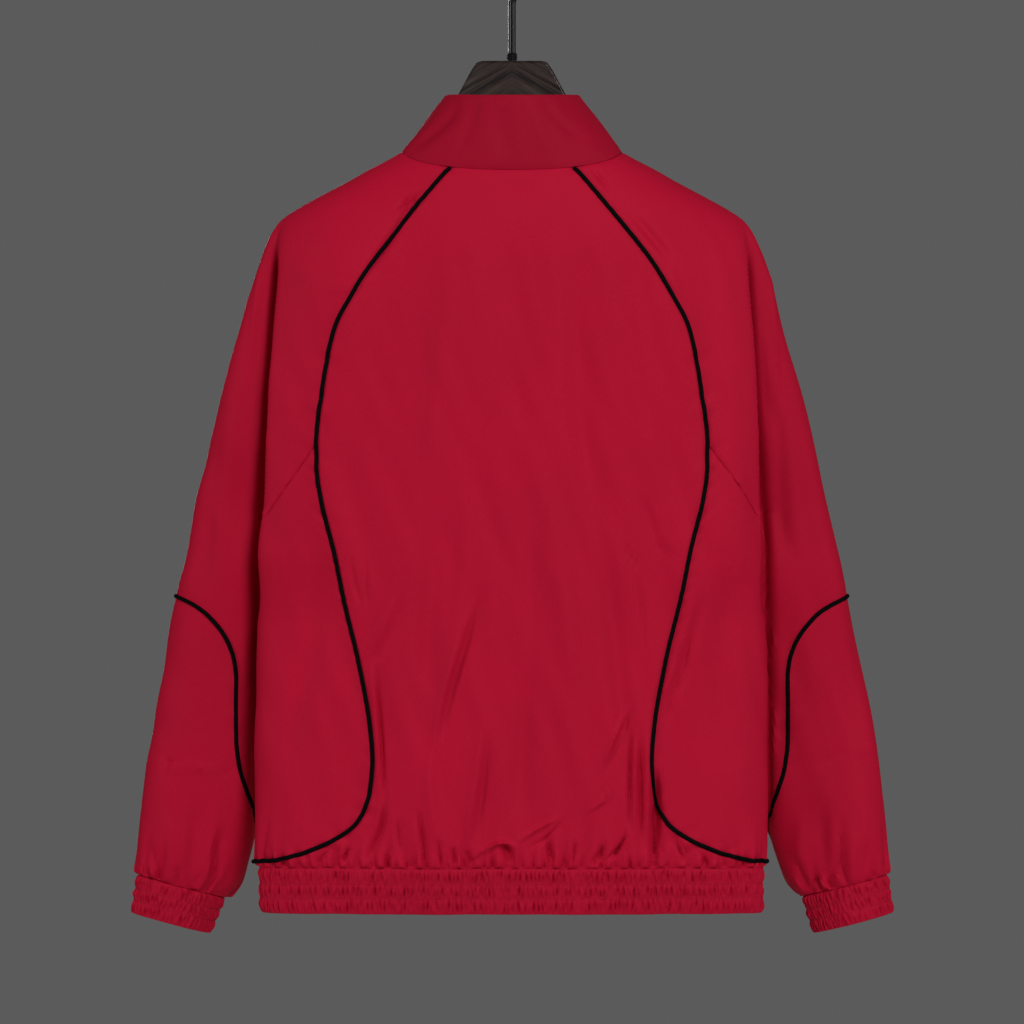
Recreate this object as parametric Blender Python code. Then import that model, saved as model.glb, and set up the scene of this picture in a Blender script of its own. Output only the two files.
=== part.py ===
"""A woven windbreaker hanging on a wooden hanger, built as its cut and sewn pieces.

Frame: metres, +Z up, the garment's front faces -Y, its left sleeve is on +X. The origin is the
inner top of the hook, where the hanger hangs. Sizes below are in millimetres; a "drop" is a
distance down from the origin. The cloth's shape comes from level sections: a smooth shoulder
ring, a folded ring where the sleeve hangs beside the body, and below the underarm point one ring
for the body and one for each sleeve.
"""

import math

import bmesh
import bpy
from mathutils import Vector

MM = 0.001

# Cloth and trim
WALL = 1.5
SEAM_PULL = 0.15
LIFT = 0.5
PIPING_WIDTH = 4.4
PIPING_HEIGHT = 1.9
ZIP_HALF_GAP = 4.5
NECK_ROWS = 4
NECK_BASE = 292.0
FOLD_STARTS = 262.0
FOLD_FULL = 345.0
UNDERARM = 563.0
SPLIT_BLEND = 75.0
SIDE_POINT = 854.6
HEM_SEAM = 860.2
HEM_END = 902.5
BAND_WALL = 2.4

# Places along a half section: whole numbers are the control points of the folded ring.
CENTRE_BACK, FOLD, VALLEY, OUTER, INNER, FRONT_VALLEY, CENTRE_FRONT = 0, 3, 5, 8, 11, 13, 16
BODY_END = VALLEY + CENTRE_FRONT - FRONT_VALLEY

# drop, half width over the shoulders and the sleeves' outer edges
OUTLINE = (
    (196.0, 95.0), (199.6, 102.1), (205.2, 111.3), (216.2, 132.5), (227.2, 151.8), (245.6, 186.8),
    (255.0, 202.5), (264.0, 214.4), (273.0, 221.0), (282.4, 226.3), (300.8, 234.1), (337.6, 245.6),
    (374.4, 255.8), (429.6, 270.5), (484.8, 284.3), (563.0, 302.0), (613.6, 313.3), (668.8, 323.8),
    (724.0, 334.0), (779.2, 342.7), (834.4, 349.6), (871.2, 351.4), (880.0, 352.0),
)
# drop, half width at the body's fold edge and, lower down, at its sides
SIDE_EDGE = (
    (255.0, 200.0), (282.0, 214.5), (325.0, 217.5), (374.0, 221.5), (457.0, 227.0), (512.0, 229.5),
    (558.0, 233.3), (613.0, 234.7), (706.0, 235.9), (845.0, 235.6), (860.0, 232.8), (866.0, 231.9),
    (895.0, 231.5), (903.0, 229.5),
)
# drop, back surface, front surface, ridge of the shoulders and the side of the body
DEPTHS = (
    (196.0, 40.0, -44.0, 0.0), (218.0, 45.0, -50.0, -1.0), (245.6, 50.0, -55.0, -3.0),
    (264.0, 53.0, -57.0, -6.0), (300.0, 56.0, -55.0, -9.0), (374.0, 58.0, -50.0, -4.0),
    (563.0, 58.0, -42.0, 4.0), (700.0, 57.0, -39.0, 8.0), (845.0, 53.0, -37.0, 8.0),
    (903.0, 47.0, -32.0, 8.0),
)
# drop, then x and y of each control point of the folded ring
FOLDS = (
    # drop, fold y, valley x, y, sleeve back x, y, outer y, sleeve front x, y, inner x, y,
    #   front valley x, y, front side x, y, fold radius, valley radius, outer half depth
    (300.0, 23.0, 214.0, 11.0, 226.0, 4.0, -9.0, 227.0, -29.0, 214.0, -35.0,
     205.0, -40.0, 176.0, -47.0, 3.0, 3.0, 8.0),
    (374.0, 26.0, 205.0, 8.0, 228.0, 5.0, -20.0, 236.0, -53.0, 203.0, -56.0,
     214.0, -39.0, 184.0, -44.0, 4.0, 3.0, 13.0),
    (457.0, 28.0, 200.0, 4.0, 240.0, 2.0, -31.0, 248.0, -73.0, 197.0, -69.0,
     215.0, -36.0, 186.0, -39.0, 4.5, 3.0, 16.0),
    (534.0, 28.0, 206.0, -5.0, 247.0, -5.0, -40.0, 258.0, -87.0, 193.0, -77.0,
     213.0, -24.0, 187.0, -35.0, 5.0, 1.6, 18.0),
    (563.0, 27.0, 212.0, -14.0, 252.0, -9.0, -45.0, 262.0, -91.0, 191.0, -79.0,
     212.0, -14.0, 188.0, -33.0, 5.0, 0.6, 20.0),
)
# drop of the ring's middle, inner edge x, middle y, half depth, rise of the outer edge per unit of width
SLEEVE = (
    (563.0, 189.0, -47.0, 38.0, 0.00), (600.0, 189.0, -51.0, 37.0, 0.03), (650.0, 192.0, -54.0, 35.0, 0.08),
    (700.0, 201.0, -56.0, 34.0, 0.13), (750.0, 214.0, -57.0, 33.0, 0.18), (790.0, 226.0, -57.0, 32.0, 0.21),
    (820.0, 239.0, -57.0, 30.5, 0.235), (845.0, 247.5, -57.0, 29.0, 0.25), (865.0, 255.0, -57.0, 26.0, 0.26),
    (881.8, 267.0, -57.0, 21.5, 0.26),
)
SLEEVE_LEVELS = (578.0, 597.0, 618.0, 626.0, 636.0, 650.0, 668.0, 692.0, 722.0, 752.0, 778.0, 798.0, 806.0, 822.0,
                 838.0, 853.0, 868.0, 881.0)
SLEEVE_PIPING_LEVELS = (613.8, 614.6, 616.2, 618.0, 622.0, 626.0, 631.0, 636.0, 643.0, 650.0, 659.0, 668.0, 692.0,
                        722.0, 752.0, 778.0, 790.0, 798.0, 802.0, 806.0, 808.0, 810.0)
CUFF_TOP = (881.5, 269.2, 350.6, 21.5, 0.26)
CUFF_END = (916.2, 281.2, 356.2, 20.5, 0.26)

# drop, half width of the piped line on the back and, mirrored, on the front
PIPED_LINE = (
    (196.0, 36.0), (216.2, 57.3), (245.6, 83.0), (275.0, 107.0), (304.5, 129.3), (334.0, 147.2),
    (363.4, 162.4), (392.8, 169.5), (422.3, 174.2), (466.4, 179.5), (495.9, 178.9), (525.3, 174.4),
    (569.5, 163.3), (613.6, 154.3), (672.5, 140.3), (731.4, 130.4), (760.8, 128.2), (790.3, 130.9),
    (805.0, 135.4), (819.7, 144.0), (834.4, 164.5), (844.0, 186.0), (847.0, 194.0),
)
# drop, place along the section where the underarm seam runs, on the back and on the front
UNDERARM_SEAM = ((471.0, 1.62, 14.38), (497.0, 2.15, 14.0), (534.0, 3.0, 13.45), (550.0, 3.9, 13.2),
                 (563.0, 5.0, 13.0))
# drop, x of the piped line on the sleeve, from its outer edge to its inner edge
SLEEVE_LINE = (
    (610.9, 312.6), (615.0, 303.0), (620.9, 292.6), (628.4, 282.9), (643.1, 269.8), (657.8, 261.7),
    (672.5, 257.4), (687.2, 256.0), (716.7, 256.4), (746.1, 256.2), (760.8, 254.8), (775.6, 252.1),
    (790.3, 247.9), (805.0, 241.5), (819.7, 234.0),
)

BODY_LEVELS = (325.0, 354.0, 386.0, 425.0, 471.0, 489.0, 508.0, 522.0, 534.0, 543.0, 553.0, 563.0)
LOWER_LEVELS = (600.0, 655.0, 705.0, 750.0, 785.0, 810.0, 826.0, 836.0, 843.0, 847.0, 850.5, 853.0)
# drop, share of the way from the piped line's place at its last row to the side point
PIPED_TAIL = ((847.0, 0.0), (850.5, 0.36), (853.0, 0.70), (854.6, 1.0))
KNOTS = (0, 0.5, 1, 1.5, 2, 2.5, 3, 3.5, 4, 5, 6, 7, 7.5, 8, 8.5, 9, 10, 10.5, 11, 11.5, 12,
         13, 13.5, 14, 14.5, 15, 15.33, 15.66, 16)
SLEEVE_KNOTS = (5, 5.5, 6, 6.5, 7, 7.5, 8, 8.6, 9.2, 9.85, 10.5, 11.2, 13)

CRIMSON = (0.36, 0.006, 0.021)
DARK_CRIMSON = (0.30, 0.005, 0.017)
BLACK = (0.008, 0.008, 0.009)
WOOD = (0.028, 0.018, 0.014)


def curve_at(rows, column, at):
    """A column of a table at a drop, by cubics that never overshoot the rows."""
    if at <= rows[0][0]:
        return rows[0][column]
    if at >= rows[-1][0]:
        return rows[-1][column]
    i = max(k for k in range(len(rows) - 1) if rows[k][0] <= at)
    span = rows[i + 1][0] - rows[i][0]
    rise = (rows[i + 1][column] - rows[i][column]) / span

    def slope(k):
        if k <= 0 or k >= len(rows) - 1:
            return rise
        before = (rows[k][column] - rows[k - 1][column]) / (rows[k][0] - rows[k - 1][0])
        after = (rows[k + 1][column] - rows[k][column]) / (rows[k + 1][0] - rows[k][0])
        return 0.0 if before * after <= 0 else 2 * before * after / (before + after)

    t = (at - rows[i][0]) / span
    first, last = slope(i) * span, slope(i + 1) * span
    low, high = rows[i][column], rows[i + 1][column]
    return (
        (2 * t**3 - 3 * t**2 + 1) * low + (t**3 - 2 * t**2 + t) * first
        + (3 * t**2 - 2 * t**3) * high + (t**3 - t**2) * last
    )


def smooth_step(value):
    value = min(max(value, 0.0), 1.0)
    return value * value * (3 - 2 * value)


def power(value, exponent):
    return math.copysign(abs(value) ** exponent, value)


RING_ANGLES = ((0, 0), (FOLD, 66), (VALLEY, 76), (OUTER, 90), (INNER, 105), (FRONT_VALLEY, 113), (CENTRE_FRONT, 180))
BODY_ANGLES = ((0, 0), (FOLD, 74), (VALLEY, 96), (BODY_END, 180))
SLEEVE_ANGLES = ((VALLEY, 0), (OUTER, 180), (INNER, 325), (FRONT_VALLEY, 360))


def oval(angle, half_width, back, front, middle, squareness):
    """A point of a level oval: angle 0 is its back, 90 its side and 180 its front."""
    turn = math.radians(angle)
    depth = back - middle if angle < 90 else middle - front
    x = half_width * power(math.sin(turn), 2 / squareness)
    return x, middle + depth * power(math.cos(turn), 2 / squareness)


def shoulder_ring(t, drop):
    back, front, ridge = (curve_at(DEPTHS, k, drop) for k in (1, 2, 3))
    if drop > NECK_BASE:
        ridge = curve_at(DEPTHS, 3, NECK_BASE)
    half = curve_at(OUTLINE, 1, drop)
    return oval(curve_at(RING_ANGLES, 1, t), half, back, front, ridge, 2.25)


def folded_ring(t, drop):
    """A quadratic B-spline through the folded section's control points."""
    (fold_y, valley_x, valley_y, back_x, back_y, outer_y, front_x, front_y, inner_x, inner_y,
     dip_x, dip_y, side_x, side_y, fold_r, valley_r, outer_r) = (
        curve_at(FOLDS, k, drop) for k in range(1, 18))
    back, front = curve_at(DEPTHS, 1, drop), curve_at(DEPTHS, 2, drop)
    edge, outer = curve_at(SIDE_EDGE, 1, drop), curve_at(OUTLINE, 1, drop)
    points = (
        (-0.42 * edge, back), (0.42 * edge, back), (0.84 * edge, back - 8),
        (edge, fold_y + fold_r), (edge, fold_y - fold_r),
        (valley_x, valley_y + valley_r), (valley_x, valley_y - valley_r),
        (back_x, back_y), (outer, outer_y + outer_r), (outer, outer_y - outer_r),
        (front_x, front_y), (inner_x, inner_y - fold_r), (inner_x, inner_y + fold_r),
        (dip_x, dip_y - valley_r), (dip_x, dip_y + valley_r),
        (side_x, side_y), (0.42 * edge, front), (-0.42 * edge, front),
    )
    i = min(int(t), CENTRE_FRONT - 1)
    u = t - i
    weights = (0.5 * (1 - u) ** 2, 0.5 + u - u * u, 0.5 * u * u)
    x = sum(w * points[i + k][0] for k, w in enumerate(weights))
    y = sum(w * points[i + k][1] for k, w in enumerate(weights))
    return x, y


def upper(t, drop):
    """The cloth above the underarm point, the body and the sleeve in one section."""
    share = smooth_step((drop - FOLD_STARTS) / (FOLD_FULL - FOLD_STARTS))
    x, y = shoulder_ring(t, drop)
    if share > 0:
        fx, fy = folded_ring(t, drop)
        x, y = x + (fx - x) * share, y + (fy - y) * share
    return Vector((x, y, -drop))


def body(q, drop):
    """The body from centre back (0) round the side to centre front (BODY_END)."""
    above = q if q <= VALLEY else q + FRONT_VALLEY - VALLEY
    if drop <= UNDERARM:
        return upper(above, drop)
    back, front, side = (curve_at(DEPTHS, k, drop) for k in (1, 2, 3))
    half = curve_at(SIDE_EDGE, 1, drop)
    x, y = oval(curve_at(BODY_ANGLES, 1, q), half, back, front, side, 2.5)
    share = 1 - smooth_step((drop - UNDERARM) / SPLIT_BLEND)
    if share > 0:
        start = upper(above, UNDERARM)
        reach = half / curve_at(SIDE_EDGE, 1, UNDERARM)
        x, y = x + (start.x * reach - x) * share, y + (start.y - y) * share
    return Vector((x, y, -drop))


def sleeve_ring(t, inner, outer, middle_y, half_depth, rise, drop):
    half = (outer - inner) / 2
    angle = math.radians(curve_at(SLEEVE_ANGLES, 1, t))
    across = -half * power(math.cos(angle), 2 / 2.2)
    y = middle_y + half_depth * power(math.sin(angle), 2 / 2.2)
    return Vector((inner + half + across, y, -drop + rise * across))


def sleeve(t, drop):
    """The sleeve below the underarm point; drop is that of the ring's middle."""
    if drop <= UNDERARM:
        return upper(t, drop)
    inner, middle_y, half_depth, rise = (curve_at(SLEEVE, k, drop) for k in (1, 2, 3, 4))
    outer = curve_at(OUTLINE, 1, drop)
    outer = curve_at(OUTLINE, 1, drop - rise * (outer - inner) / 2)
    ring = sleeve_ring(t, inner, outer, middle_y, half_depth, rise, drop)
    share = 1 - smooth_step((drop - UNDERARM) / SPLIT_BLEND)
    if share > 0:
        start = upper(t, UNDERARM)
        first = curve_at(OUTLINE, 1, UNDERARM)
        shift = (outer - first) * max(0.0, (start.x - inner) / (first - inner))
        ring.x += (start.x + shift - ring.x) * share
        ring.y += (start.y - ring.y) * share
    return ring


def neck_drop(t):
    """The neck seam: highest at the sides, a little lower at the back and well down at the front."""
    angle = math.radians(curve_at(RING_ANGLES, 1, t))
    if angle < math.pi / 2:
        return 199.6 + 18.4 * math.cos(angle) ** 2
    return 199.6 + 64.4 * abs(math.cos(angle)) ** 2


def normal_of(surface, t, drop, low, high):
    """The outward normal of a surface function of (t, drop)."""
    step = 0.02
    across = surface(min(t + step, high), drop) - surface(max(t - step, low), drop)
    down = surface(t, drop + 1) - surface(t, drop - 1)
    normal = across.cross(down)
    return normal.normalized() if normal.length > 1e-9 else Vector((0, 0, 1))


def place_where(surface, drop_at, line, low, high):
    """The place between low and high where a section crosses a line given as x at each drop."""
    def beyond(t):
        return surface(t, drop_at(t)).x - line(-surface(t, drop_at(t)).z)
    below, above = low, high
    rising = beyond(high) > 0
    for _ in range(40):
        middle = (below + above) / 2
        if (beyond(middle) > 0) == rising:
            above = middle
        else:
            below = middle
    return (below + above) / 2


def piped_x(drop):
    return curve_at(PIPED_LINE, 1, drop)


class Levels:
    """The rows of the body and upper sleeve, and where the seams cross each."""

    def __init__(self):
        self.rows = []
        for k in range(NECK_ROWS):
            share = k / NECK_ROWS
            self.rows.append(lambda t, s=share: neck_drop(t) + (NECK_BASE - neck_drop(t)) * s)
        for drop in (NECK_BASE,) + BODY_LEVELS:
            self.rows.append(lambda t, d=drop: d)
        self.back, self.front = [], []
        for row in self.rows:
            self.back.append(place_where(upper, row, piped_x, 0, FOLD))
            self.front.append(CENTRE_FRONT - place_where(
                lambda u, d: upper(CENTRE_FRONT - u, d), lambda u: row(CENTRE_FRONT - u), piped_x, 0, 2.6))


LEVELS = Levels()


def knots_between(first, last, knots=None):
    inside = [k for k in (knots or KNOTS) if first + 0.12 < k < last - 0.12]
    return [first] + inside + [last]


class Cloth:
    """A mesh of the outer face of one cut piece, with each point's own outward direction."""

    def __init__(self, side=1):
        self.mesh = bmesh.new()
        self.out = {}
        self.side = side

    def point(self, place, normal):
        vert = self.mesh.verts.new((place.x * self.side * MM, place.y * MM, place.z * MM))
        self.out[vert] = Vector((normal.x * self.side, normal.y, normal.z)).normalized()
        return vert

    def face(self, *verts):
        if len(set(verts)) == 3:
            self.mesh.faces.new(verts[::-1] if self.side > 0 else verts)

    def join(self, upper_row, lower_row, flip=False):
        """Triangles between two rows that may hold different numbers of points."""
        i = j = 0
        while i < len(upper_row) - 1 or j < len(lower_row) - 1:
            here = upper_row[i], lower_row[j]
            step_up = i < len(upper_row) - 1
            if step_up and j < len(lower_row) - 1:
                first = (upper_row[i + 1].co - lower_row[j].co).length
                second = (upper_row[i].co - lower_row[j + 1].co).length
                step_up = first <= second
            if step_up:
                i += 1
                verts = here[0], here[1], upper_row[i]
            else:
                j += 1
                verts = here[0], here[1], lower_row[j]
            self.face(*(verts[::-1] if flip else verts))

    def rows(self, rows):
        for first, second in zip(rows, rows[1:]):
            self.join(first, second)

    def tube(self, rows):
        """Faces between rows that match point for point."""
        for above, below in zip(rows, rows[1:]):
            for a, b, c, d in zip(above, above[1:], below[1:], below):
                self.face(a, b, c)
                self.face(a, c, d)

    def pull_in(self, distance=SEAM_PULL):
        """Draws the free edges in along the cloth, which leaves the gap of each seam."""
        moves = {}
        for edge in self.mesh.edges:
            if len(edge.link_faces) != 1:
                continue
            face = edge.link_faces[0]
            along = (edge.verts[1].co - edge.verts[0].co).normalized()
            face.normal_update()
            inward = face.normal.cross(along)
            if inward.dot(face.calc_center_median() - edge.verts[0].co) < 0:
                inward.negate()
            for vert in edge.verts:
                moves.setdefault(vert, []).append(inward)
        for vert, ways in moves.items():
            total = sum(ways, Vector())
            if total.length < 1e-6:
                continue
            way = total.normalized()
            vert.co += way * distance * MM / max(0.35, min(way.dot(w) for w in ways))

    def wall(self, thickness=WALL):
        """Gives the piece its thickness, inwards from the outer face."""
        outer_faces = list(self.mesh.faces)
        free = [edge for edge in self.mesh.edges if len(edge.link_faces) == 1]
        rims = []
        for edge in free:
            loop = edge.link_loops[0]
            rims.append((loop.vert, loop.link_loop_next.vert))
        inner = {v: self.mesh.verts.new(v.co - self.out[v] * thickness * MM) for v in self.out}
        for face in outer_faces:
            self.mesh.faces.new([inner[v] for v in reversed(face.verts)])
        for first, second in rims:
            self.mesh.faces.new((second, first, inner[first]))
            self.mesh.faces.new((second, inner[first], inner[second]))


def material(name, colour, roughness, metallic=0.0):
    made = bpy.data.materials.get(name) or bpy.data.materials.new(name)
    made.use_nodes = True
    shader = made.node_tree.nodes["Principled BSDF"]
    shader.inputs["Base Color"].default_value = (*colour, 1)
    shader.inputs["Roughness"].default_value = roughness
    shader.inputs["Metallic"].default_value = metallic
    return made


def add_object(name, mesh, finish, origin=(0, 0, 0)):
    data = bpy.data.meshes.new(name)
    mesh.to_mesh(data)
    mesh.free()
    data.shade_smooth()
    data.set_sharp_from_angle(angle=math.radians(50))
    data.materials.append(finish)
    made = bpy.data.objects.new(name, data)
    made.location = origin
    bpy.context.scene.collection.objects.link(made)
    return made


def body_normal(q, drop):
    return normal_of(body, q, drop, 0, BODY_END)


def upper_normal(t, drop):
    return normal_of(upper, t, min(drop, UNDERARM - 1.01), 0, CENTRE_FRONT)


def sleeve_normal(t, drop):
    if drop <= UNDERARM:
        return upper_normal(t, drop)
    low = sleeve(t - 0.02 if t > VALLEY else FRONT_VALLEY - 0.02, drop)
    high = sleeve(t + 0.02 if t < FRONT_VALLEY else VALLEY + 0.02, drop)
    across = high - low
    down = sleeve(t, drop + 1) - sleeve(t, max(drop - 1, UNDERARM + 0.1))
    return across.cross(down).normalized()


def row_points(cloth, surface, normal, places, drop_at):
    return [cloth.point(surface(t, drop_at(t)), normal(t, drop_at(t))) for t in places]


def lower_piped(drop, front=False):
    """Where the piped line crosses the lower body at a drop."""
    turn = PIPED_TAIL[0][0]
    if drop > turn:
        start = lower_piped(turn, front)
        return start + (VALLEY - start) * curve_at(PIPED_TAIL, 1, drop)
    if front:
        return BODY_END - place_where(lambda u, d: body(BODY_END - u, d), lambda u: drop, piped_x, 0, 2.9)
    return place_where(body, lambda t: drop, piped_x, 0, VALLEY - 0.01)


def mirrored_row(cloth, surface, normal, places, drop_at):
    """A row right across the middle: its left half outwards from the centre, and its right half."""
    left = row_points(cloth, surface, normal, places, drop_at)
    right = [left[0]]
    for t in places[1:]:
        place, out = surface(t, drop_at(t)), normal(t, drop_at(t))
        right.append(cloth.point(Vector((-place.x, place.y, place.z)), Vector((-out.x, out.y, out.z))))
    return left, right


def join_mirrored(cloth, rows):
    for above, below in zip(rows, rows[1:]):
        cloth.join(above[0], below[0])
        cloth.join(above[1], below[1], flip=True)


def back_panel():
    cloth = Cloth()
    rows = []
    for k, drop_at in enumerate(LEVELS.rows):
        rows.append(mirrored_row(cloth, upper, upper_normal, knots_between(0, LEVELS.back[k]), drop_at))
    for drop in LOWER_LEVELS + (SIDE_POINT, HEM_SEAM):
        edge = lower_piped(drop) if drop < SIDE_POINT else VALLEY
        rows.append(mirrored_row(cloth, body, body_normal, knots_between(0, edge), lambda t, d=drop: d))
    join_mirrored(cloth, rows)
    return cloth


def front_edge(surface, drop, low, high):
    """The place near centre front that lies half the zip's gap from the middle."""
    return place_where(surface, lambda t: drop, lambda d: ZIP_HALF_GAP, low, high)


def front_panel(side):
    cloth = Cloth(side)
    rows = []
    for k, drop_at in enumerate(LEVELS.rows):
        edge = place_where(upper, drop_at, lambda d: ZIP_HALF_GAP, 15, CENTRE_FRONT)
        rows.append(row_points(cloth, upper, upper_normal, knots_between(LEVELS.front[k], edge), drop_at))
    knots = [k - FRONT_VALLEY + VALLEY for k in KNOTS]
    for drop in LOWER_LEVELS + (SIDE_POINT, HEM_SEAM):
        edge = front_edge(body, drop, BODY_END - 1, BODY_END)
        start = lower_piped(drop, True) if drop < SIDE_POINT else VALLEY
        places = knots_between(start, edge, knots)
        rows.append(row_points(cloth, body, body_normal, places, lambda t, d=drop: d))
    cloth.rows(rows)
    return cloth


def seam_at(drop, column):
    return curve_at(UNDERARM_SEAM, column, drop)


def sleeve_starts(k):
    """The row's first and last place on the sleeve."""
    drop = LEVELS.rows[k](0)
    if k < NECK_ROWS or drop <= 471.0:
        return LEVELS.back[k], LEVELS.front[k]
    return seam_at(drop, 1), seam_at(drop, 2)


def sleeve_line_x(drop):
    if drop < SLEEVE_LINE[0][0]:
        return 400.0 + SLEEVE_LINE[0][0] - drop
    if drop > SLEEVE_LINE[-1][0]:
        return 100.0 - drop + SLEEVE_LINE[-1][0]
    return curve_at(SLEEVE_LINE, 1, drop)


def sleeve_crossings(drop):
    """Where a ring of the sleeve crosses its piped line, on the back and on the front, or None."""
    def beyond(t):
        place = sleeve(t, drop)
        return place.x - sleeve_line_x(-place.z)
    if beyond(OUTER) <= 0 or beyond(VALLEY + 0.001) >= 0:
        return None
    back = place_where(sleeve, lambda t: drop, sleeve_line_x, VALLEY, OUTER)
    front = place_where(sleeve, lambda t: drop, sleeve_line_x, OUTER, FRONT_VALLEY)
    return back, front


def upper_sleeve(side):
    cloth = Cloth(side)
    rows = []
    last = len(LEVELS.rows) - 1
    for k, drop_at in enumerate(LEVELS.rows[:last]):
        first, end = sleeve_starts(k)
        rows.append(row_points(cloth, upper, upper_normal, knots_between(first, end), drop_at))
    for drop in (UNDERARM,) + SLEEVE_LEVELS:
        crossings = sleeve_crossings(drop)
        if crossings is None and sleeve(VALLEY, drop).z < -700:
            break
        if crossings is None:
            ring = row_points(cloth, sleeve, sleeve_normal, SLEEVE_KNOTS[:-1], lambda t, d=drop: d)
            rows.append(ring + [ring[0]])
            continue
        back, front = crossings
        first = row_points(cloth, sleeve, sleeve_normal, knots_between(VALLEY, back, SLEEVE_KNOTS), lambda t, d=drop: d)
        second = row_points(
            cloth, sleeve, sleeve_normal, knots_between(front, FRONT_VALLEY, SLEEVE_KNOTS)[:-1], lambda t, d=drop: d)
        rows.append((first, second + [first[0]]))
    fix_underarm(cloth, rows)
    for above, below in zip(rows, rows[1:]):
        if isinstance(above, list) and isinstance(below, list):
            cloth.join(above, below)
        elif isinstance(above, list):
            middle = SLEEVE_KNOTS.index(OUTER)
            tip = cloth.point(sleeve(OUTER, outer_tip_drop()), Vector((1, 0, 0.2)))
            cloth.join(above[:middle + 1], below[0] + [tip])
            cloth.join(above[middle:], [tip] + below[1])
        else:
            cloth.join(above[0], below[0])
            cloth.join(above[1], below[1])
    ends = rows[-1]
    tip = cloth.point(sleeve_tip(), Vector((-1, 0, 0)))
    cloth.join(ends[0], [tip])
    cloth.join(ends[1], [tip])
    return cloth


def sleeve_tip():
    """The lowest point of the upper sleeve, where its piped line meets the inner edge."""
    low, high = 780.0, 860.0
    for _ in range(40):
        middle = (low + high) / 2
        place = sleeve(VALLEY, middle)
        low, high = (middle, high) if place.x < sleeve_line_x(-place.z) else (low, middle)
    return sleeve(VALLEY, low)


def fix_underarm(cloth, rows):
    """At the underarm point the ring's first and last directions differ, so it takes their mean."""
    ring = rows[len(LEVELS.rows) - 1]
    cloth.out[ring[0]] = Vector((-0.35 * cloth.side, 0.8, 0.5)).normalized()


def forearm(side):
    cloth = Cloth(side)
    rows = []
    tip = cloth.point(sleeve(OUTER, outer_tip_drop()), Vector((1, 0, 0.2)))
    rows.append([tip])
    for drop in SLEEVE_LEVELS:
        crossings = sleeve_crossings(drop)
        if drop <= outer_tip_drop() + 2:
            continue
        if crossings is None:
            places = [k for k in SLEEVE_KNOTS if k >= OUTER] + [k for k in SLEEVE_KNOTS if VALLEY < k < OUTER]
            ring = row_points(cloth, sleeve, sleeve_normal, places, lambda t, d=drop: d)
            rows.append(ring + [ring[0]])
            continue
        rows.append(row_points(
            cloth, sleeve, sleeve_normal, knots_between(*crossings, SLEEVE_KNOTS), lambda t, d=drop: d))
    open_rows = [row for row in rows if row[0] is not row[-1] or len(row) == 1]
    rings = [row for row in rows if len(row) > 1 and row[0] is row[-1]]
    cloth.rows(open_rows)
    ring = rings[0]
    half = len([k for k in SLEEVE_KNOTS if k >= OUTER]) - 1
    seam = ring[half]
    outer = ring[half:-1] + ring[:half] + [seam]
    tip_low = cloth.point(sleeve_tip(), Vector((-1, 0, 0)))
    cloth.join([tip_low] + open_rows[-1] + [tip_low], outer)
    cloth.rows(rings)
    return cloth


def outer_tip_drop():
    """The ring whose outer edge is the top of the sleeve's piped line."""
    low, high = 560.0, 660.0
    for _ in range(40):
        middle = (low + high) / 2
        low, high = (middle, high) if -sleeve(OUTER, middle).z < SLEEVE_LINE[0][0] else (low, middle)
    return low


def side_panel(side):
    cloth = Cloth(side)
    horns_back, horns_front = [], []
    for k, drop_at in enumerate(LEVELS.rows):
        drop = drop_at(0)
        if k < NECK_ROWS or drop < 471.0 or drop >= UNDERARM:
            continue
        if drop == 471.0:
            horns_back.append(row_points(cloth, upper, upper_normal, [LEVELS.back[k]], drop_at))
            horns_front.append(row_points(cloth, upper, upper_normal, [LEVELS.front[k]], drop_at))
            continue
        back = knots_between(LEVELS.back[k], seam_at(drop, 1))
        front = knots_between(seam_at(drop, 2), LEVELS.front[k])
        horns_back.append(row_points(cloth, upper, upper_normal, back, drop_at))
        horns_front.append(row_points(cloth, upper, upper_normal, front, drop_at))
    cloth.rows(horns_back)
    cloth.rows(horns_front)
    knots = [k if k <= VALLEY else k - FRONT_VALLEY + VALLEY for k in KNOTS if k <= VALLEY or k > FRONT_VALLEY]
    rows = []
    for drop in (UNDERARM,) + LOWER_LEVELS:
        start, end = lower_piped(drop), lower_piped(drop, True)
        if drop == UNDERARM:
            start = LEVELS.back[-1]
            end = LEVELS.front[-1] - FRONT_VALLEY + VALLEY
        rows.append(row_points(cloth, body, body_normal, knots_between(start, end, knots), lambda t, d=drop: d))
    middle = knots_between(LEVELS.back[-1], LEVELS.front[-1] - FRONT_VALLEY + VALLEY, knots).index(VALLEY)
    point = rows[0][middle]
    cloth.out[point] = Vector((0.5 * side, -0.5, 0.5)).normalized()
    cloth.join(horns_back[-1], rows[0][:middle + 1])
    cloth.join(horns_front[-1], rows[0][middle:])
    cloth.rows(rows)
    tip = row_points(cloth, body, body_normal, [VALLEY], lambda t: SIDE_POINT)
    cloth.join(rows[-1], tip)
    return cloth


WAVES = {"hem": 76, "cuff": 32}
CHANNELS = 3


def band_profile(share, wave):
    """How far a gathered band stands out: nothing on its stitch lines, waves between them."""
    puff = math.sin(math.pi * share * CHANNELS) ** 2
    return 0.5 + puff * (1.3 + 0.75 * wave)


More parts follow.
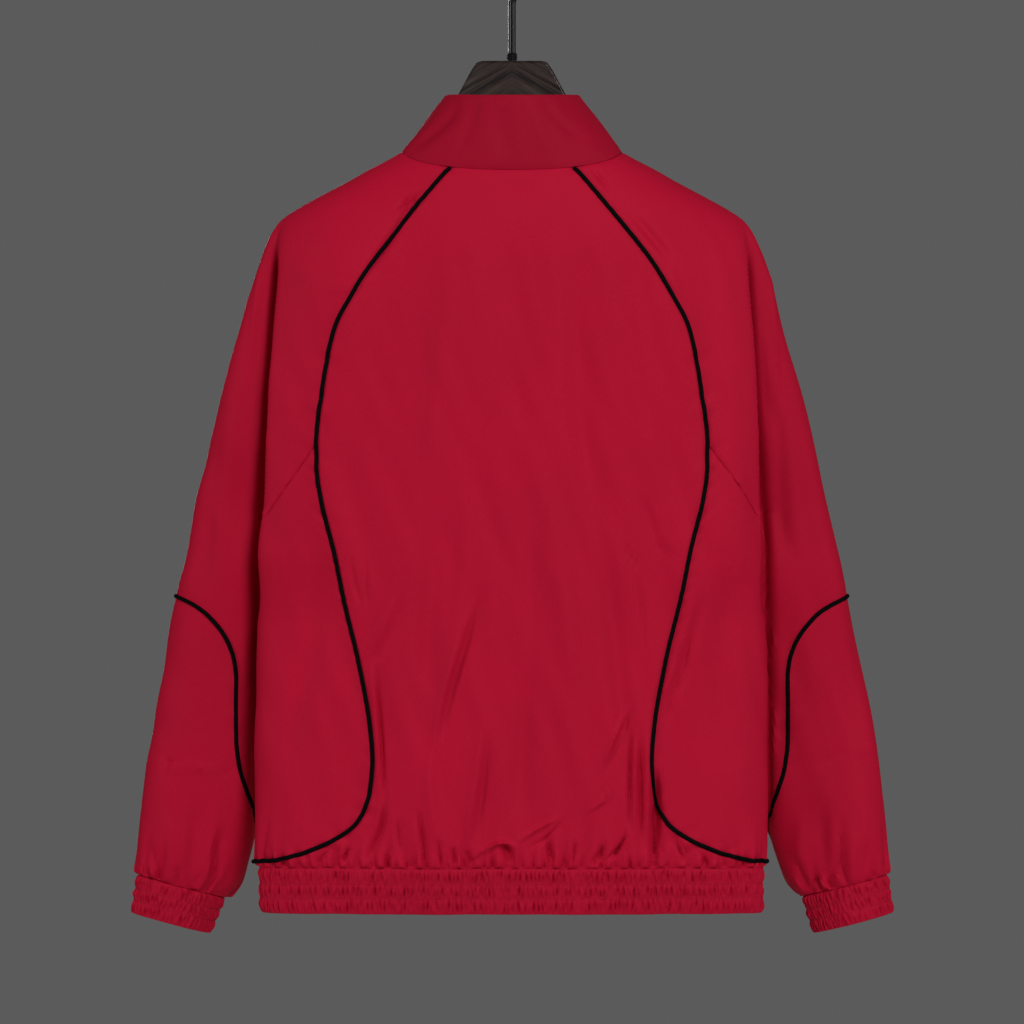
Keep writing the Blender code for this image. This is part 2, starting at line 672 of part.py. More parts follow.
def gathered_band(side, waves, place_at, thickness, closed):
    """An elastic band: waves in its outer points over a plain inner wall.

    place_at(f, v) gives the point and outward direction at the share f round and v down.
    """
    cloth = Cloth(side)
    steps, rows = 2 * waves, 2 * CHANNELS
    outer, inner = [], []
    for r in range(rows + 1):
        row = []
        for k in range(steps if closed else steps + 1):
            place, out = place_at(k / steps, r / rows)
            height = band_profile(r / rows, 1 if k % 2 else -1)
            row.append(cloth.point(place + out * height, out))
        outer.append(row + [row[0]] if closed else row)
    plain = waves // 2
    for r in (0, 1):
        row = []
        for k in range(plain if closed else plain + 1):
            place, out = place_at(k / plain, r)
            row.append(cloth.point(place - out * (thickness - 0.5), out))
        inner.append(row + [row[0]] if closed else row)
    cloth.rows(outer)
    cloth.join(inner[1], inner[0])
    cloth.join(inner[0], outer[0])
    cloth.join(outer[-1], inner[1])
    if not closed:
        for end in (0, -1):
            corner = inner[0][end], inner[1][end]
            edge = [row[end] for row in outer]
            for above, below in zip(edge, edge[1:]):
                verts = (above, corner[0], below) if end == 0 else (below, corner[0], above)
                cloth.face(*verts)
            verts = (edge[-1], corner[0], corner[1]) if end == 0 else (corner[1], corner[0], edge[-1])
            cloth.face(*verts)
    bmesh.ops.recalc_face_normals(cloth.mesh, faces=cloth.mesh.faces)
    return cloth


def even_places(surface, low, high, count):
    """Places from low to high that are evenly spaced along the section."""
    fine = [low + (high - low) * k / 400 for k in range(401)]
    points = [surface(q) for q in fine]
    run = [0.0]
    for a, b in zip(points, points[1:]):
        run.append(run[-1] + (b - a).length)
    made, k = [], 0
    for n in range(count + 1):
        aim = run[-1] * n / count
        while k < 399 and run[k + 1] < aim:
            k += 1
        span = run[k + 1] - run[k]
        made.append(fine[k] + (fine[k + 1] - fine[k]) * ((aim - run[k]) / span if span else 0))
    return made


def whole_body(q, drop):
    """The body's ring right round: q below 0 is the wearer's right side."""
    place = body(abs(q), drop)
    return Vector((-place.x, place.y, place.z)) if q < 0 else place


def whole_normal(q, drop):
    out = body_normal(abs(q), min(drop, HEM_END))
    out = Vector((-out.x if q < 0 else out.x, out.y, 0))
    return out.normalized()


def hem_band():
    top = HEM_SEAM + 0.35
    edge = front_edge(body, HEM_END, BODY_END - 1, BODY_END)
    places = even_places(lambda q: whole_body(q, HEM_SEAM), -edge, edge, 2 * WAVES["hem"])

    def place_at(f, v):
        q = places[round(f * 2 * WAVES["hem"])]
        drop = top + (HEM_END - top) * v
        return whole_body(q, drop) - whole_normal(q, drop) * 1.2, whole_normal(q, drop)

    return gathered_band(1, WAVES["hem"], place_at, BAND_WALL, False)


def cuff(side):
    def ring(q, v):
        drop, inner, outer, half_depth, rise = (a + (b - a) * v for a, b in zip(CUFF_TOP, CUFF_END))
        angle = math.tau * q
        half = (outer - inner) / 2
        across = -half * power(math.cos(angle), 2 / 2.2)
        return Vector((inner + half + across, -57 - half_depth * power(math.sin(angle), 2 / 2.2),
                       -drop + rise * across))
    places = even_places(lambda q: ring(q, 0), 0, 1, 2 * WAVES["cuff"])

    def place_at(f, v):
        q = places[round(f * 2 * WAVES["cuff"])]
        ahead, behind = ring(q + 0.004, v), ring(q - 0.004, v)
        out = (ring(q, v + 0.02) - ring(q, v - 0.02)).cross(ahead - behind)
        if out.dot(ring(q, v) - (ring(0, v) + ring(0.5, v)) / 2) < 0:
            out.negate()
        return ring(q, v) - out.normalized() * 1.2, out.normalized()

    return gathered_band(side, WAVES["cuff"], place_at, BAND_WALL, True)


COLLAR_TOP = (149.5, 146.4, 192.0)  # drop of the collar's top edge at the back, the sides and the front
COLLAR_TOP_HALF = 61.5
COLLAR_TOP_BACK = 47.0
COLLAR_TOP_FRONT = -59.0
COLLAR_WALL = 2.5
COLLAR_ROWS = 3
COLLAR_KNOTS = (0, 0.5, 1, 2, 3, 5, 6.5, 8, 9.5, 11, 13, 14, 14.7, 15.25, 15.6, 16)


def collar_at(t, v):
    """The stand collar's outer face: v is 0 at the neck seam and 1 at its top edge."""
    low = upper(t, neck_drop(t))
    angle = curve_at(RING_ANGLES, 1, t)
    x, y = oval(angle, COLLAR_TOP_HALF, COLLAR_TOP_BACK, COLLAR_TOP_FRONT, -4.0, 1.75)
    back, sides, front = COLLAR_TOP
    end = back if angle < 90 else front
    drop = sides + (end - sides) * math.cos(math.radians(angle)) ** 2
    bow = 2.0 * math.sin(math.pi * v)
    place = low.lerp(Vector((x, y, -drop)), v)
    middle = Vector((0, -4.0, place.z))
    return place + (place - middle).normalized() * bow


def collar_direction(t, v):
    across = collar_at(min(t + 0.05, CENTRE_FRONT), v) - collar_at(max(t - 0.05, 0), v)
    up = collar_at(t, min(v + 0.02, 1)) - collar_at(t, max(v - 0.02, 0))
    return up.cross(across).normalized()


def collar():
    cloth = Cloth()
    rows = []
    for k in range(COLLAR_ROWS + 1):
        v = 1 - 0.99 * k / COLLAR_ROWS
        edge = place_where(collar_at, lambda t: v, lambda d: ZIP_HALF_GAP, 15, CENTRE_FRONT)
        places = knots_between(0, edge, COLLAR_KNOTS)
        if k == COLLAR_ROWS:
            back, front = LEVELS.back[0], LEVELS.front[0]
            places = knots_between(0, back) + knots_between(back, front)[1:] + knots_between(front, edge)[1:]
        rows.append(mirrored_row(cloth, collar_at, collar_direction, places, lambda t: v))
    join_mirrored(cloth, rows)
    return cloth


def strip_along(side, points, profile):
    """A closed strip swept along points; each is (place, outward direction), profile is (across, out)."""
    cloth = Cloth(side)
    rows = []
    for k, (place, out) in enumerate(points):
        before = points[max(k - 1, 0)][0]
        after = points[min(k + 1, len(points) - 1)][0]
        across = out.cross((after - before).normalized()).normalized()
        row = [cloth.point(place + across * a + out * h, out) for a, h in profile]
        rows.append(row + [row[0]])
    cloth.tube(rows)
    for row in (rows[0], rows[-1]):
        for a, b in zip(row[1:-1], row[2:-1]):
            cloth.face(row[0], a, b)
    bmesh.ops.recalc_face_normals(cloth.mesh, faces=cloth.mesh.faces)
    return cloth


def half_round(width, height, lift):
    half = width / 2
    return [(-half, lift), (-0.8 * half, lift + 0.7 * height), (0, lift + height),
            (0.8 * half, lift + 0.7 * height), (half, lift)]


def body_piping(side):
    """One length of piping: back neck, raglan line, side panel line, round the side and up the front."""
    points = []
    back, front = [], []
    for k, drop_at in enumerate(LEVELS.rows):
        for places, found in ((LEVELS.back, back), (LEVELS.front, front)):
            t = places[k]
            drop = drop_at(t) + (1.6 if k == 0 else 0)
            found.append((upper(t, drop), upper_normal(t, drop)))
    for drop in LOWER_LEVELS[:-2] + (848.6, 850.0, 851.4, 852.4, 853.2, 853.9, 854.35):
        for is_front, found in ((False, back), (True, front)):
            q = lower_piped(drop, is_front)
            found.append((body(q, drop), body_normal(q, drop)))
    tip = (body(VALLEY, SIDE_POINT), body_normal(VALLEY, SIDE_POINT))
    points = back + [tip] + front[::-1]
    return strip_along(side, points, half_round(PIPING_WIDTH, PIPING_HEIGHT, LIFT))


def sleeve_piping(side):
    back, front = [], []
    for drop in SLEEVE_PIPING_LEVELS:
        crossings = sleeve_crossings(drop)
        if crossings is None:
            continue
        for t, found in zip(crossings, (back, front)):
            found.append((sleeve(t, drop), sleeve_normal(t, drop)))
    top = (sleeve(OUTER, outer_tip_drop()), sleeve_normal(OUTER, outer_tip_drop()))
    low = (sleeve_tip(), Vector((-1, 0, -0.2)).normalized())
    ring = [top] + back + [low] + front[::-1]
    cloth = Cloth(side)
    rows = []
    count = len(ring)
    for k, (place, out) in enumerate(ring):
        along = (ring[(k + 1) % count][0] - ring[k - 1][0]).normalized()
        across = out.cross(along).normalized()
        row = [cloth.point(place + across * a + out * h, out)
               for a, h in half_round(PIPING_WIDTH, PIPING_HEIGHT, LIFT)]
        rows.append(row + [row[0]])
    cloth.tube(rows + [rows[0]])
    bmesh.ops.recalc_face_normals(cloth.mesh, faces=cloth.mesh.faces)
    return cloth


TAPE_WIDTH = 11.0
TAPE_THICK = 0.8
TAPE_CLEAR = 0.35
COIL_HALF = 3.9
COIL_SUNK = 0.2
MIDDLE_GAP = 0.3
HEM_INSIDE = 3.1


def zip_half(side):
    """One tape behind the front's edge, with its row of teeth filling half the gap."""
    stations = []
    for k in range(COLLAR_ROWS + 1):
        v = 0.985 * (1 - k / COLLAR_ROWS)
        stations.append((collar_at, lambda t, v=v: v, CENTRE_FRONT, collar_direction(CENTRE_FRONT, v), COLLAR_WALL))
    for drop_at in LEVELS.rows[1:]:
        out = upper_normal(CENTRE_FRONT, drop_at(CENTRE_FRONT))
        stations.append((upper, drop_at, CENTRE_FRONT, out, WALL))
    for drop in LOWER_LEVELS[:-4] + (SIDE_POINT - 2, SIDE_POINT + 2, HEM_END - 1):
        inside = WALL if drop < SIDE_POINT else HEM_INSIDE
        stations.append((body, lambda t, d=drop: d, BODY_END, body_normal(BODY_END, drop), inside))
    cloth = Cloth(side)
    rows = []
    for surface, row_at, middle, out, inside in stations:
        out = Vector((0, out.y, out.z)).normalized()
        edge = place_where(surface, row_at, lambda d: ZIP_HALF_GAP, middle - 1, middle)
        far = place_where(surface, row_at, lambda d: TAPE_WIDTH, middle - 1.6, middle)
        front = surface(middle, row_at(middle))
        near, end = surface(edge, row_at(edge)), surface(far, row_at(far))
        under, curl = inside + TAPE_CLEAR, 0.25 if surface is collar_at else 0
        row = [
            (MIDDLE_GAP, front - out * (under + TAPE_THICK)), (COIL_HALF, near - out * (under + TAPE_THICK)),
            (TAPE_WIDTH, end - out * (under + TAPE_THICK + curl)), (TAPE_WIDTH, end - out * (under + curl)),
            (COIL_HALF, near - out * under), (COIL_HALF, front - out * COIL_SUNK),
            (MIDDLE_GAP, front - out * COIL_SUNK),
        ]
        verts = [cloth.point(Vector((x, place.y, place.z)), out) for x, place in row]
        rows.append(verts + [verts[0]])
    cloth.tube(rows)
    for row in (rows[0], rows[-1]):
        for a, b, c in ((0, 1, 6), (1, 5, 6), (1, 4, 5), (1, 2, 4), (2, 3, 4)):
            cloth.face(row[a], row[b], row[c])
    bmesh.ops.recalc_face_normals(cloth.mesh, faces=cloth.mesh.faces)
    return cloth


# x, top drop, bottom drop, half thickness of the hanger inside the collar
HANGER_NECK = (
    (0.0, 115.5, 180.0, 7.5), (27.0, 115.5, 181.0, 7.5), (32.5, 116.8, 182.0, 7.6), (38.0, 125.0, 183.0, 7.8),
    (50.0, 147.5, 187.0, 8.5), (75.0, 182.5, 203.0, 10.0), (90.0, 195.5, 213.0, 11.5),
)
# x, bottom drop, half thickness of the arms under the shoulders
HANGER_ARMS = ((103.0, 221.0, 11.5), (130.0, 238.0, 11.5), (160.0, 255.0, 11.5), (190.0, 271.0, 11.5),
               (207.0, 279.0, 11.5))
HANGER_END = 204.0
HANGER_SIDES = 10


def ridge_drop(x):
    """The drop of the shoulder cloth's ridge, straight between the cloth's own rows."""
    points = [upper(OUTER, row(OUTER)) for row in LEVELS.rows[:NECK_ROWS + 2]]
    for a, b in zip(points, points[1:]):
        if a.x <= x <= b.x:
            return -(a.z + (b.z - a.z) * (x - a.x) / (b.x - a.x))
    return -points[0].z


def hanger():
    stations = [row for row in HANGER_NECK]
    under_cloth = (WALL + 0.3) / math.cos(math.radians(29)) + 0.1
    for x in [upper(OUTER, row(OUTER)).x for row in LEVELS.rows[:3]] + [103.5, 122.0, 165.0, 196.0]:
        if 103 <= x <= 198:
            bottom, thick = curve_at(HANGER_ARMS, 1, x), curve_at(HANGER_ARMS, 2, x)
            stations.append((x, ridge_drop(x) + under_cloth, bottom, thick))
    stations.sort()
    tip = stations[-1]
    for share, size in ((0.45, 0.93), (0.8, 0.74), (1.0, 0.42)):
        x = tip[0] + (HANGER_END - tip[0]) * share
        middle = (ridge_drop(x) + under_cloth + curve_at(HANGER_ARMS, 1, x)) / 2
        half = (curve_at(HANGER_ARMS, 1, x) - ridge_drop(x) - under_cloth) / 2 * size
        stations.append((x, middle - half, middle + half, curve_at(HANGER_ARMS, 2, x) * size))
    cloth = Cloth()
    rows = []
    whole = [(-row[0],) + row[1:] for row in reversed(stations)] + stations[1:]
    for x, top, bottom, thick in whole:
        row = []
        for k in range(HANGER_SIDES):
            turn = math.tau * k / HANGER_SIDES
            y = curve_at(DEPTHS, 3, ridge_drop(abs(x))) + thick * power(math.sin(turn), 0.9)
            z = -(top + bottom) / 2 + (bottom - top) / 2 * power(math.cos(turn), 0.9)
            row.append(cloth.point(Vector((x, y, z)), Vector((0, 0, 1))))
        rows.append(row + [row[0]])
    cloth.tube(rows)
    for row in (rows[0], rows[-1]):
        for a, b in zip(row[1:-1], row[2:-1]):
            cloth.face(row[0], a, b)
    bmesh.ops.recalc_face_normals(cloth.mesh, faces=cloth.mesh.faces)
    return cloth


HOOK_ROD = 3.5
HOOK_INNER = 22.0
HOOK_STARTS, HOOK_ENDS = 200, -28
HOOK_STRAIGHT = -64.0


def hook_path():
    """Up the shank, over to one side and round the arc that rests on a rail."""
    centre, radius = Vector((0, 0, -HOOK_INNER)), HOOK_INNER + HOOK_ROD

    def on_arc(degrees):
        turn = math.radians(degrees)
        return centre + radius * Vector((math.cos(turn), 0, math.sin(turn)))
    start, end = Vector((0, 0, HOOK_STRAIGHT)), on_arc(HOOK_STARTS)
    turn = math.radians(HOOK_STARTS)
    second = end - 14 * Vector((math.sin(turn), 0, -math.cos(turn)))
    first = start + Vector((0, 0, 16))
    path = [Vector((0, 0, -HANGER_NECK[0][1] + 0.3)), Vector((0, 0, -90)), start]
    for k in range(1, 7):
        u = k / 7
        path.append((1 - u) ** 3 * start + 3 * u * (1 - u) ** 2 * first + 3 * u * u * (1 - u) * second + u**3 * end)
    for k in range(20):
        path.append(on_arc(HOOK_STARTS + (HOOK_ENDS - HOOK_STARTS) * k / 19))
    return path


def curve_tube(name, path, radius, finish):
    data = bpy.data.curves.new(name, "CURVE")
    data.dimensions = "3D"
    data.bevel_depth = radius * MM
    data.bevel_resolution = 2
    data.use_fill_caps = True
    spline = data.splines.new("POLY")
    spline.points.add(len(path) - 1)
    for point, place in zip(spline.points, path):
        point.co = (*(place * MM), 1)
    data.materials.append(finish)
    made = bpy.data.objects.new(name, data)
    bpy.context.scene.collection.objects.link(made)
    return made


def ferrule():
    """A short collar round the foot of the rod, turned from its section."""
    mesh = bmesh.new()
    low = -HANGER_NECK[0][1] + 0.3
    inner, outer, high = HOOK_ROD + 0.3, HOOK_ROD + 1.3, low + 7.0
    section = [(inner, low), (outer, low), (outer, high - 1.5), (outer - 0.6, high), (inner, high)]
    verts = [mesh.verts.new((x * MM, 0, z * MM)) for x, z in section]
    edges = [mesh.edges.new((a, b)) for a, b in zip(verts, verts[1:] + verts[:1])]
    bmesh.ops.spin(mesh, geom=verts + edges, cent=(0, 0, 0), axis=(0, 0, 1), angle=math.tau, steps=12, use_merge=True)
    bmesh.ops.remove_doubles(mesh, verts=mesh.verts, dist=1e-6)
    bmesh.ops.recalc_face_normals(mesh, faces=mesh.faces)
    return mesh


SLIDER_AT = 0.84  # share of the collar's height at which the closed zip's slider stands
SLIDER = (8.4, 12.0, 2.6)  # width, height, thickness
SLIDER_CLEAR = 0.45
BAIL_RADIUS = 3.2
BAIL_ROD = 0.8
PULL_AXIS_OUT = 1.2
PULL = (6.4, 26.0, 1.4)  # width, length, thickness
PULL_BAR = 0.8
PULL_SLOT = (1.7, 6.0)  # half width and lower end of the slot


def slider_place():
    face = collar_at(CENTRE_FRONT, SLIDER_AT)
    return Vector((0, face.y - SLIDER_CLEAR, face.z))


def zip_slider():
    """The slider's body with the bail that its pull tab swings on."""
    width, height, thick = SLIDER
    seat = slider_place()
    mesh = bmesh.new()
    bmesh.ops.create_cube(mesh, size=1)
    for vert in mesh.verts:
        narrow = 0.72 if vert.co.z < 0 else 1.0
        vert.co = Vector((vert.co.x * width * narrow, seat.y - thick * (0.5 - vert.co.y), seat.z + vert.co.z * height)) * MM
    bmesh.ops.bevel(mesh, geom=mesh.edges[:], offset=0.5 * MM, affect="EDGES", segments=1, profile=0.5, material=-1)
    made = add_object("zip_slider", mesh, material("dark metal", (0.05, 0.05, 0.055), 0.35, 0.9))
    front = seat.y - thick
    arch = []
    for k in range(9):
        turn = math.radians(-12 + 204 * k / 8)
        arch.append((Vector((0, front - BAIL_RADIUS * math.sin(turn), seat.z + BAIL_RADIUS * math.cos(turn))),
                     Vector((1, 0, 0))))
    sides = [(BAIL_ROD * math.cos(math.tau * k / 6), BAIL_ROD * math.sin(math.tau * k / 6)) for k in range(6)]
    bail = add_object("bail_form", strip_along(1, arch, sides).mesh, made.data.materials[0])
    bail.hide_render = True
    bail.display_type = "WIRE"
    union = made.modifiers.new("bail", "BOOLEAN")
    union.operation = "UNION"
    union.solver = "EXACT"
    union.object = bail


def zip_pull():
    """A flat tab whose slot rides on the bail; its origin is on the hinge axis."""
    width, length, thick = PULL
    seat = slider_place()
    axis = Vector((0, seat.y - SLIDER[2] - PULL_AXIS_OUT, seat.z))
    across = (-width / 2, -PULL_SLOT[0], PULL_SLOT[0], width / 2)
    along = (-length, -PULL_SLOT[1], -PULL_BAR, PULL_BAR)
    mesh = bmesh.new()
    bmesh.ops.create_grid(mesh, x_segments=3, y_segments=3, size=0.5)
    for vert in mesh.verts:
        column, row = round((vert.co.x + 0.5) * 3), round((vert.co.y + 0.5) * 3)
        narrow = 0.8 if row == 0 else 1
        vert.co = Vector((across[column] * narrow, thick / 2, along[row])) * MM
    slot = min(mesh.faces, key=lambda f: (f.calc_center_median() - Vector((0, 0, -3.4 * MM))).length)
    bmesh.ops.delete(mesh, geom=[slot], context="FACES_ONLY")
    bmesh.ops.recalc_face_normals(mesh, faces=mesh.faces)
    made = bmesh.ops.extrude_face_region(mesh, geom=mesh.faces[:])
    for item in made["geom"]:
        if isinstance(item, bmesh.types.BMVert):
            item.co.y = -thick / 2 * MM
    bmesh.ops.recalc_face_normals(mesh, faces=mesh.faces)
    add_object("zip_pull", mesh, material("dark metal", (0.05, 0.05, 0.055), 0.35, 0.9), axis * MM)


def build_hanger():
    add_object("hanger", hanger().mesh, material("dark lacquered wood", WOOD, 0.25))
    metal = material("black gloss metal", (0.01, 0.01, 0.011), 0.15, 0.8)
    curve_tube("hanger_hook", hook_path(), HOOK_ROD, metal)
    add_object("hanger_ferrule", ferrule(), metal)


def build_cloth():
    red = material("crimson woven cloth", CRIMSON, 0.55)
    rib = material("gathered elastic cloth", DARK_CRIMSON, 0.6)
    black = material("black piping", BLACK, 0.5)
    teeth = material("dark zip", BLACK, 0.4)
    makers = [("back_panel", back_panel, ())]
    for word, side in (("left", 1), ("right", -1)):
        makers += [
            (f"front_{word}", front_panel, (side,)), (f"sleeve_{word}", upper_sleeve, (side,)),
            (f"forearm_{word}", forearm, (side,)), (f"side_panel_{word}", side_panel, (side,)),
        ]
    for name, maker, given in makers:
        cloth = maker(*given)
        cloth.pull_in(0.25 if name.startswith(("sleeve", "side")) else SEAM_PULL)
        cloth.wall()
        add_object(name, cloth.mesh, red)
    stand = collar()
    stand.pull_in()
    stand.wall(COLLAR_WALL)
    add_object("collar", stand.mesh, rib)
    add_object("hem_band", hem_band().mesh, rib)
    for word, side in (("left", 1), ("right", -1)):
        add_object(f"cuff_{word}", cuff(side).mesh, rib)
        add_object(f"piping_body_{word}", body_piping(side).mesh, black)
        add_object(f"piping_sleeve_{word}", sleeve_piping(side).mesh, black)
        add_object(f"zip_{word}", zip_half(side).mesh, teeth)


def main():
    for old in list(bpy.data.objects):
        bpy.data.objects.remove(old, do_unlink=True)
    build_cloth()
    zip_slider()
    zip_pull()
    build_hanger()


main()
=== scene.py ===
"""The looks of a crimson windbreaker on a wooden hanger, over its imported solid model.

The frame is the solids' own: metres, +Z up, the garment's front faces -Y, its left sleeve is on
+X, and the origin is the inner top of the hook. The tables and section functions are the ones
that the solids come from, in millimetres, apart from the last rows of the piped line, which
follow the cloth more closely here. A "drop" is a distance down from the origin. Folds,
gathers and seams are worked over those sections as small moves along the cloth's outward
direction. Camera: at the garment's back, looking along -Y.
"""

import math

import bmesh
import bpy
import numpy as np
from mathutils import Matrix, Vector


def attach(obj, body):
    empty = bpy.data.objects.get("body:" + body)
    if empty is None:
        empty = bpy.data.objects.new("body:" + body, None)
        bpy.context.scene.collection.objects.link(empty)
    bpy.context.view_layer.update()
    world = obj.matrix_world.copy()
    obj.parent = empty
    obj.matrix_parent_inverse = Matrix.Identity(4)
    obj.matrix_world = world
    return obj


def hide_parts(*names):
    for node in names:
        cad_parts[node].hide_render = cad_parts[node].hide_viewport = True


bl_info = {
    "name": "Windbreaker on a hanger",
    "version": (1, 0, 0),
    "blender": (4, 5, 0),
    "location": "3D View > Sidebar > Windbreaker",
    "description": "Builds the cloth, trim, zip, hanger and studio of a hanging windbreaker",
    "category": "Object",
}

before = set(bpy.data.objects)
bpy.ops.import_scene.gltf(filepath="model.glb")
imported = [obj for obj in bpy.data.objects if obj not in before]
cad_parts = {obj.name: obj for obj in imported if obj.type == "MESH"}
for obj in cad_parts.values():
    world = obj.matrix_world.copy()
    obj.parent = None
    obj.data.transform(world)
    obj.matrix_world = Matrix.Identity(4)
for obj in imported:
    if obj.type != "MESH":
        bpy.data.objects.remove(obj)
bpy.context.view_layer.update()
MM = 0.001

NECK_BASE, FOLD_STARTS, FOLD_FULL, UNDERARM, SPLIT_BLEND = 292.0, 254.0, 316.0, 563.0, 75.0
SIDE_POINT, HEM_SEAM, HEM_END = 854.6, 860.2, 902.5
ZIP_HALF_GAP = 4.5
FOLD, VALLEY, OUTER, INNER, FRONT_VALLEY, CENTRE_FRONT = 3, 5, 8, 11, 13, 16
BODY_END = VALLEY + CENTRE_FRONT - FRONT_VALLEY
SLEEVE_SQUARENESS = 2.2  # 2 makes a sleeve's section an ellipse, and more makes it squarer

# drop, half width over the shoulders and the sleeves' outer edges
OUTLINE = (
    (196.0, 95.0), (199.6, 102.1), (205.2, 111.3), (216.2, 132.5), (227.2, 151.8), (245.6, 186.8),
    (255.0, 202.5), (264.0, 214.4), (273.0, 221.0), (282.4, 226.3), (300.8, 234.1), (337.6, 245.6),
    (374.4, 255.8), (429.6, 270.5), (484.8, 284.3), (563.0, 302.0), (613.6, 313.3), (668.8, 323.8),
    (724.0, 334.0), (779.2, 342.7), (834.4, 349.6), (871.2, 351.4), (880.0, 352.0),
)
# drop, half width at the body's fold edge and, lower down, at its sides
SIDE_EDGE = (
    (255.0, 200.0), (282.0, 214.5), (325.0, 217.5), (374.0, 221.5), (457.0, 227.0), (512.0, 229.5),
    (558.0, 233.3), (613.0, 234.7), (706.0, 235.9), (845.0, 235.6), (860.0, 232.8), (866.0, 231.9),
    (895.0, 231.5), (903.0, 229.5),
)
# drop, back surface, front surface, ridge of the shoulders and the side of the body
DEPTHS = (
    (196.0, 40.0, -44.0, 0.0), (218.0, 45.0, -50.0, -1.0), (245.6, 50.0, -55.0, -3.0),
    (264.0, 53.0, -57.0, -6.0), (300.0, 56.0, -55.0, -9.0), (374.0, 58.0, -50.0, -4.0),
    (563.0, 58.0, -42.0, 4.0), (700.0, 57.0, -39.0, 8.0), (845.0, 53.0, -37.0, 8.0),
    (903.0, 47.0, -32.0, 8.0),
)
# drop, fold y, valley x, y, sleeve back x, y, outer y, sleeve front x, y, inner x, y, front valley x, y,
# front side x, y, fold radius, valley radius, outer half depth
FOLDS = (
    (300.0, 23.0, 214.0, 11.0, 226.0, 4.0, -9.0, 227.0, -29.0, 214.0, -35.0,
     205.0, -40.0, 176.0, -47.0, 3.0, 3.0, 8.0),
    (374.0, 26.0, 205.0, 8.0, 228.0, 5.0, -20.0, 236.0, -53.0, 203.0, -56.0,
     214.0, -39.0, 184.0, -44.0, 4.0, 3.0, 13.0),
    (457.0, 28.0, 200.0, 4.0, 240.0, 2.0, -31.0, 248.0, -73.0, 197.0, -69.0,
     215.0, -36.0, 186.0, -39.0, 4.5, 3.0, 16.0),
    (534.0, 28.0, 208.0, -12.0, 247.0, -8.6, -40.0, 258.0, -87.0, 193.0, -77.0,
     213.0, -24.0, 187.0, -35.0, 5.0, 1.6, 18.0),
    (563.0, 27.0, 212.0, -14.0, 252.0, -9.0, -45.0, 262.0, -91.0, 191.0, -79.0,
     212.0, -14.0, 188.0, -33.0, 5.0, 0.6, 20.0),
)
# drop of the ring's middle, inner edge x, middle y, half depth, rise of the outer edge per unit of width
SLEEVE = (
    (563.0, 189.0, -47.0, 38.0, 0.00), (600.0, 189.0, -51.0, 37.0, 0.03), (650.0, 192.0, -54.0, 35.0, 0.08),
    (700.0, 201.0, -56.0, 34.0, 0.13), (750.0, 214.0, -57.0, 33.0, 0.18), (790.0, 226.0, -57.0, 32.0, 0.21),
    (820.0, 239.0, -57.0, 30.5, 0.235), (845.0, 247.5, -57.0, 29.0, 0.25), (865.0, 255.0, -57.0, 26.0, 0.26),
    (881.8, 267.0, -57.0, 21.5, 0.26),
)
# drop, inner x, outer x, half depth and rise at the cuff's seam and at its end
CUFF_TOP = (881.5, 269.2, 350.6, 21.5, 0.26)
CUFF_END = (916.2, 281.2, 356.2, 20.5, 0.26)
# drop, half width of the piped line on the back and, mirrored, on the front
PIPED_LINE = (
    (196.0, 36.0), (216.2, 57.3), (245.6, 83.0), (275.0, 107.0), (304.5, 129.3), (334.0, 147.2),
    (363.4, 162.4), (392.8, 169.5), (422.3, 174.2), (466.4, 179.5), (495.9, 178.9), (525.3, 174.4),
    (569.5, 163.3), (613.6, 154.3), (672.5, 140.3), (731.4, 130.4), (760.8, 128.2), (790.3, 130.9),
    (805.0, 135.4), (819.7, 144.0), (834.4, 164.5), (844.0, 186.0), (847.0, 194.0), (848.7, 201.0),
    (850.2, 206.5), (851.7, 212.0), (852.9, 217.5), (854.0, 224.0),
)
# drop, share of the way from the piped line's place at its last row to the side point
PIPED_TAIL = ((854.0, 0.0), (854.3, 0.5), (854.6, 1.0))
# where the underarm seam leaves the piped line, how it runs outwards from there, and where it meets the fold
SEAM_TOP, SEAM_SLOPE, SEAM_FOLD = 470.0, 0.74, 534.0
# drop, x of the piped line on the sleeve, from its outer edge to its inner edge
SLEEVE_LINE = (
    (610.9, 312.6), (615.0, 303.0), (620.9, 292.6), (628.4, 282.9), (643.1, 269.8), (657.8, 261.7),
    (672.5, 257.4), (687.2, 256.0), (716.7, 256.4), (746.1, 256.2), (760.8, 254.8), (775.6, 252.1),
    (790.3, 247.9), (805.0, 241.5), (819.7, 234.0),
)
RING_ANGLES = (
    (0, 0), (FOLD, 66), (VALLEY, 76), (OUTER, 90), (INNER, 105), (FRONT_VALLEY, 113), (CENTRE_FRONT, 180),
)
BODY_ANGLES = ((0, 0), (FOLD, 74), (VALLEY, 96), (BODY_END, 180))
SLEEVE_ANGLES = ((VALLEY, 0), (OUTER, 180), (INNER, 325), (FRONT_VALLEY, 360))


# ---- the sections of the garment, for whole arrays of places at once ----

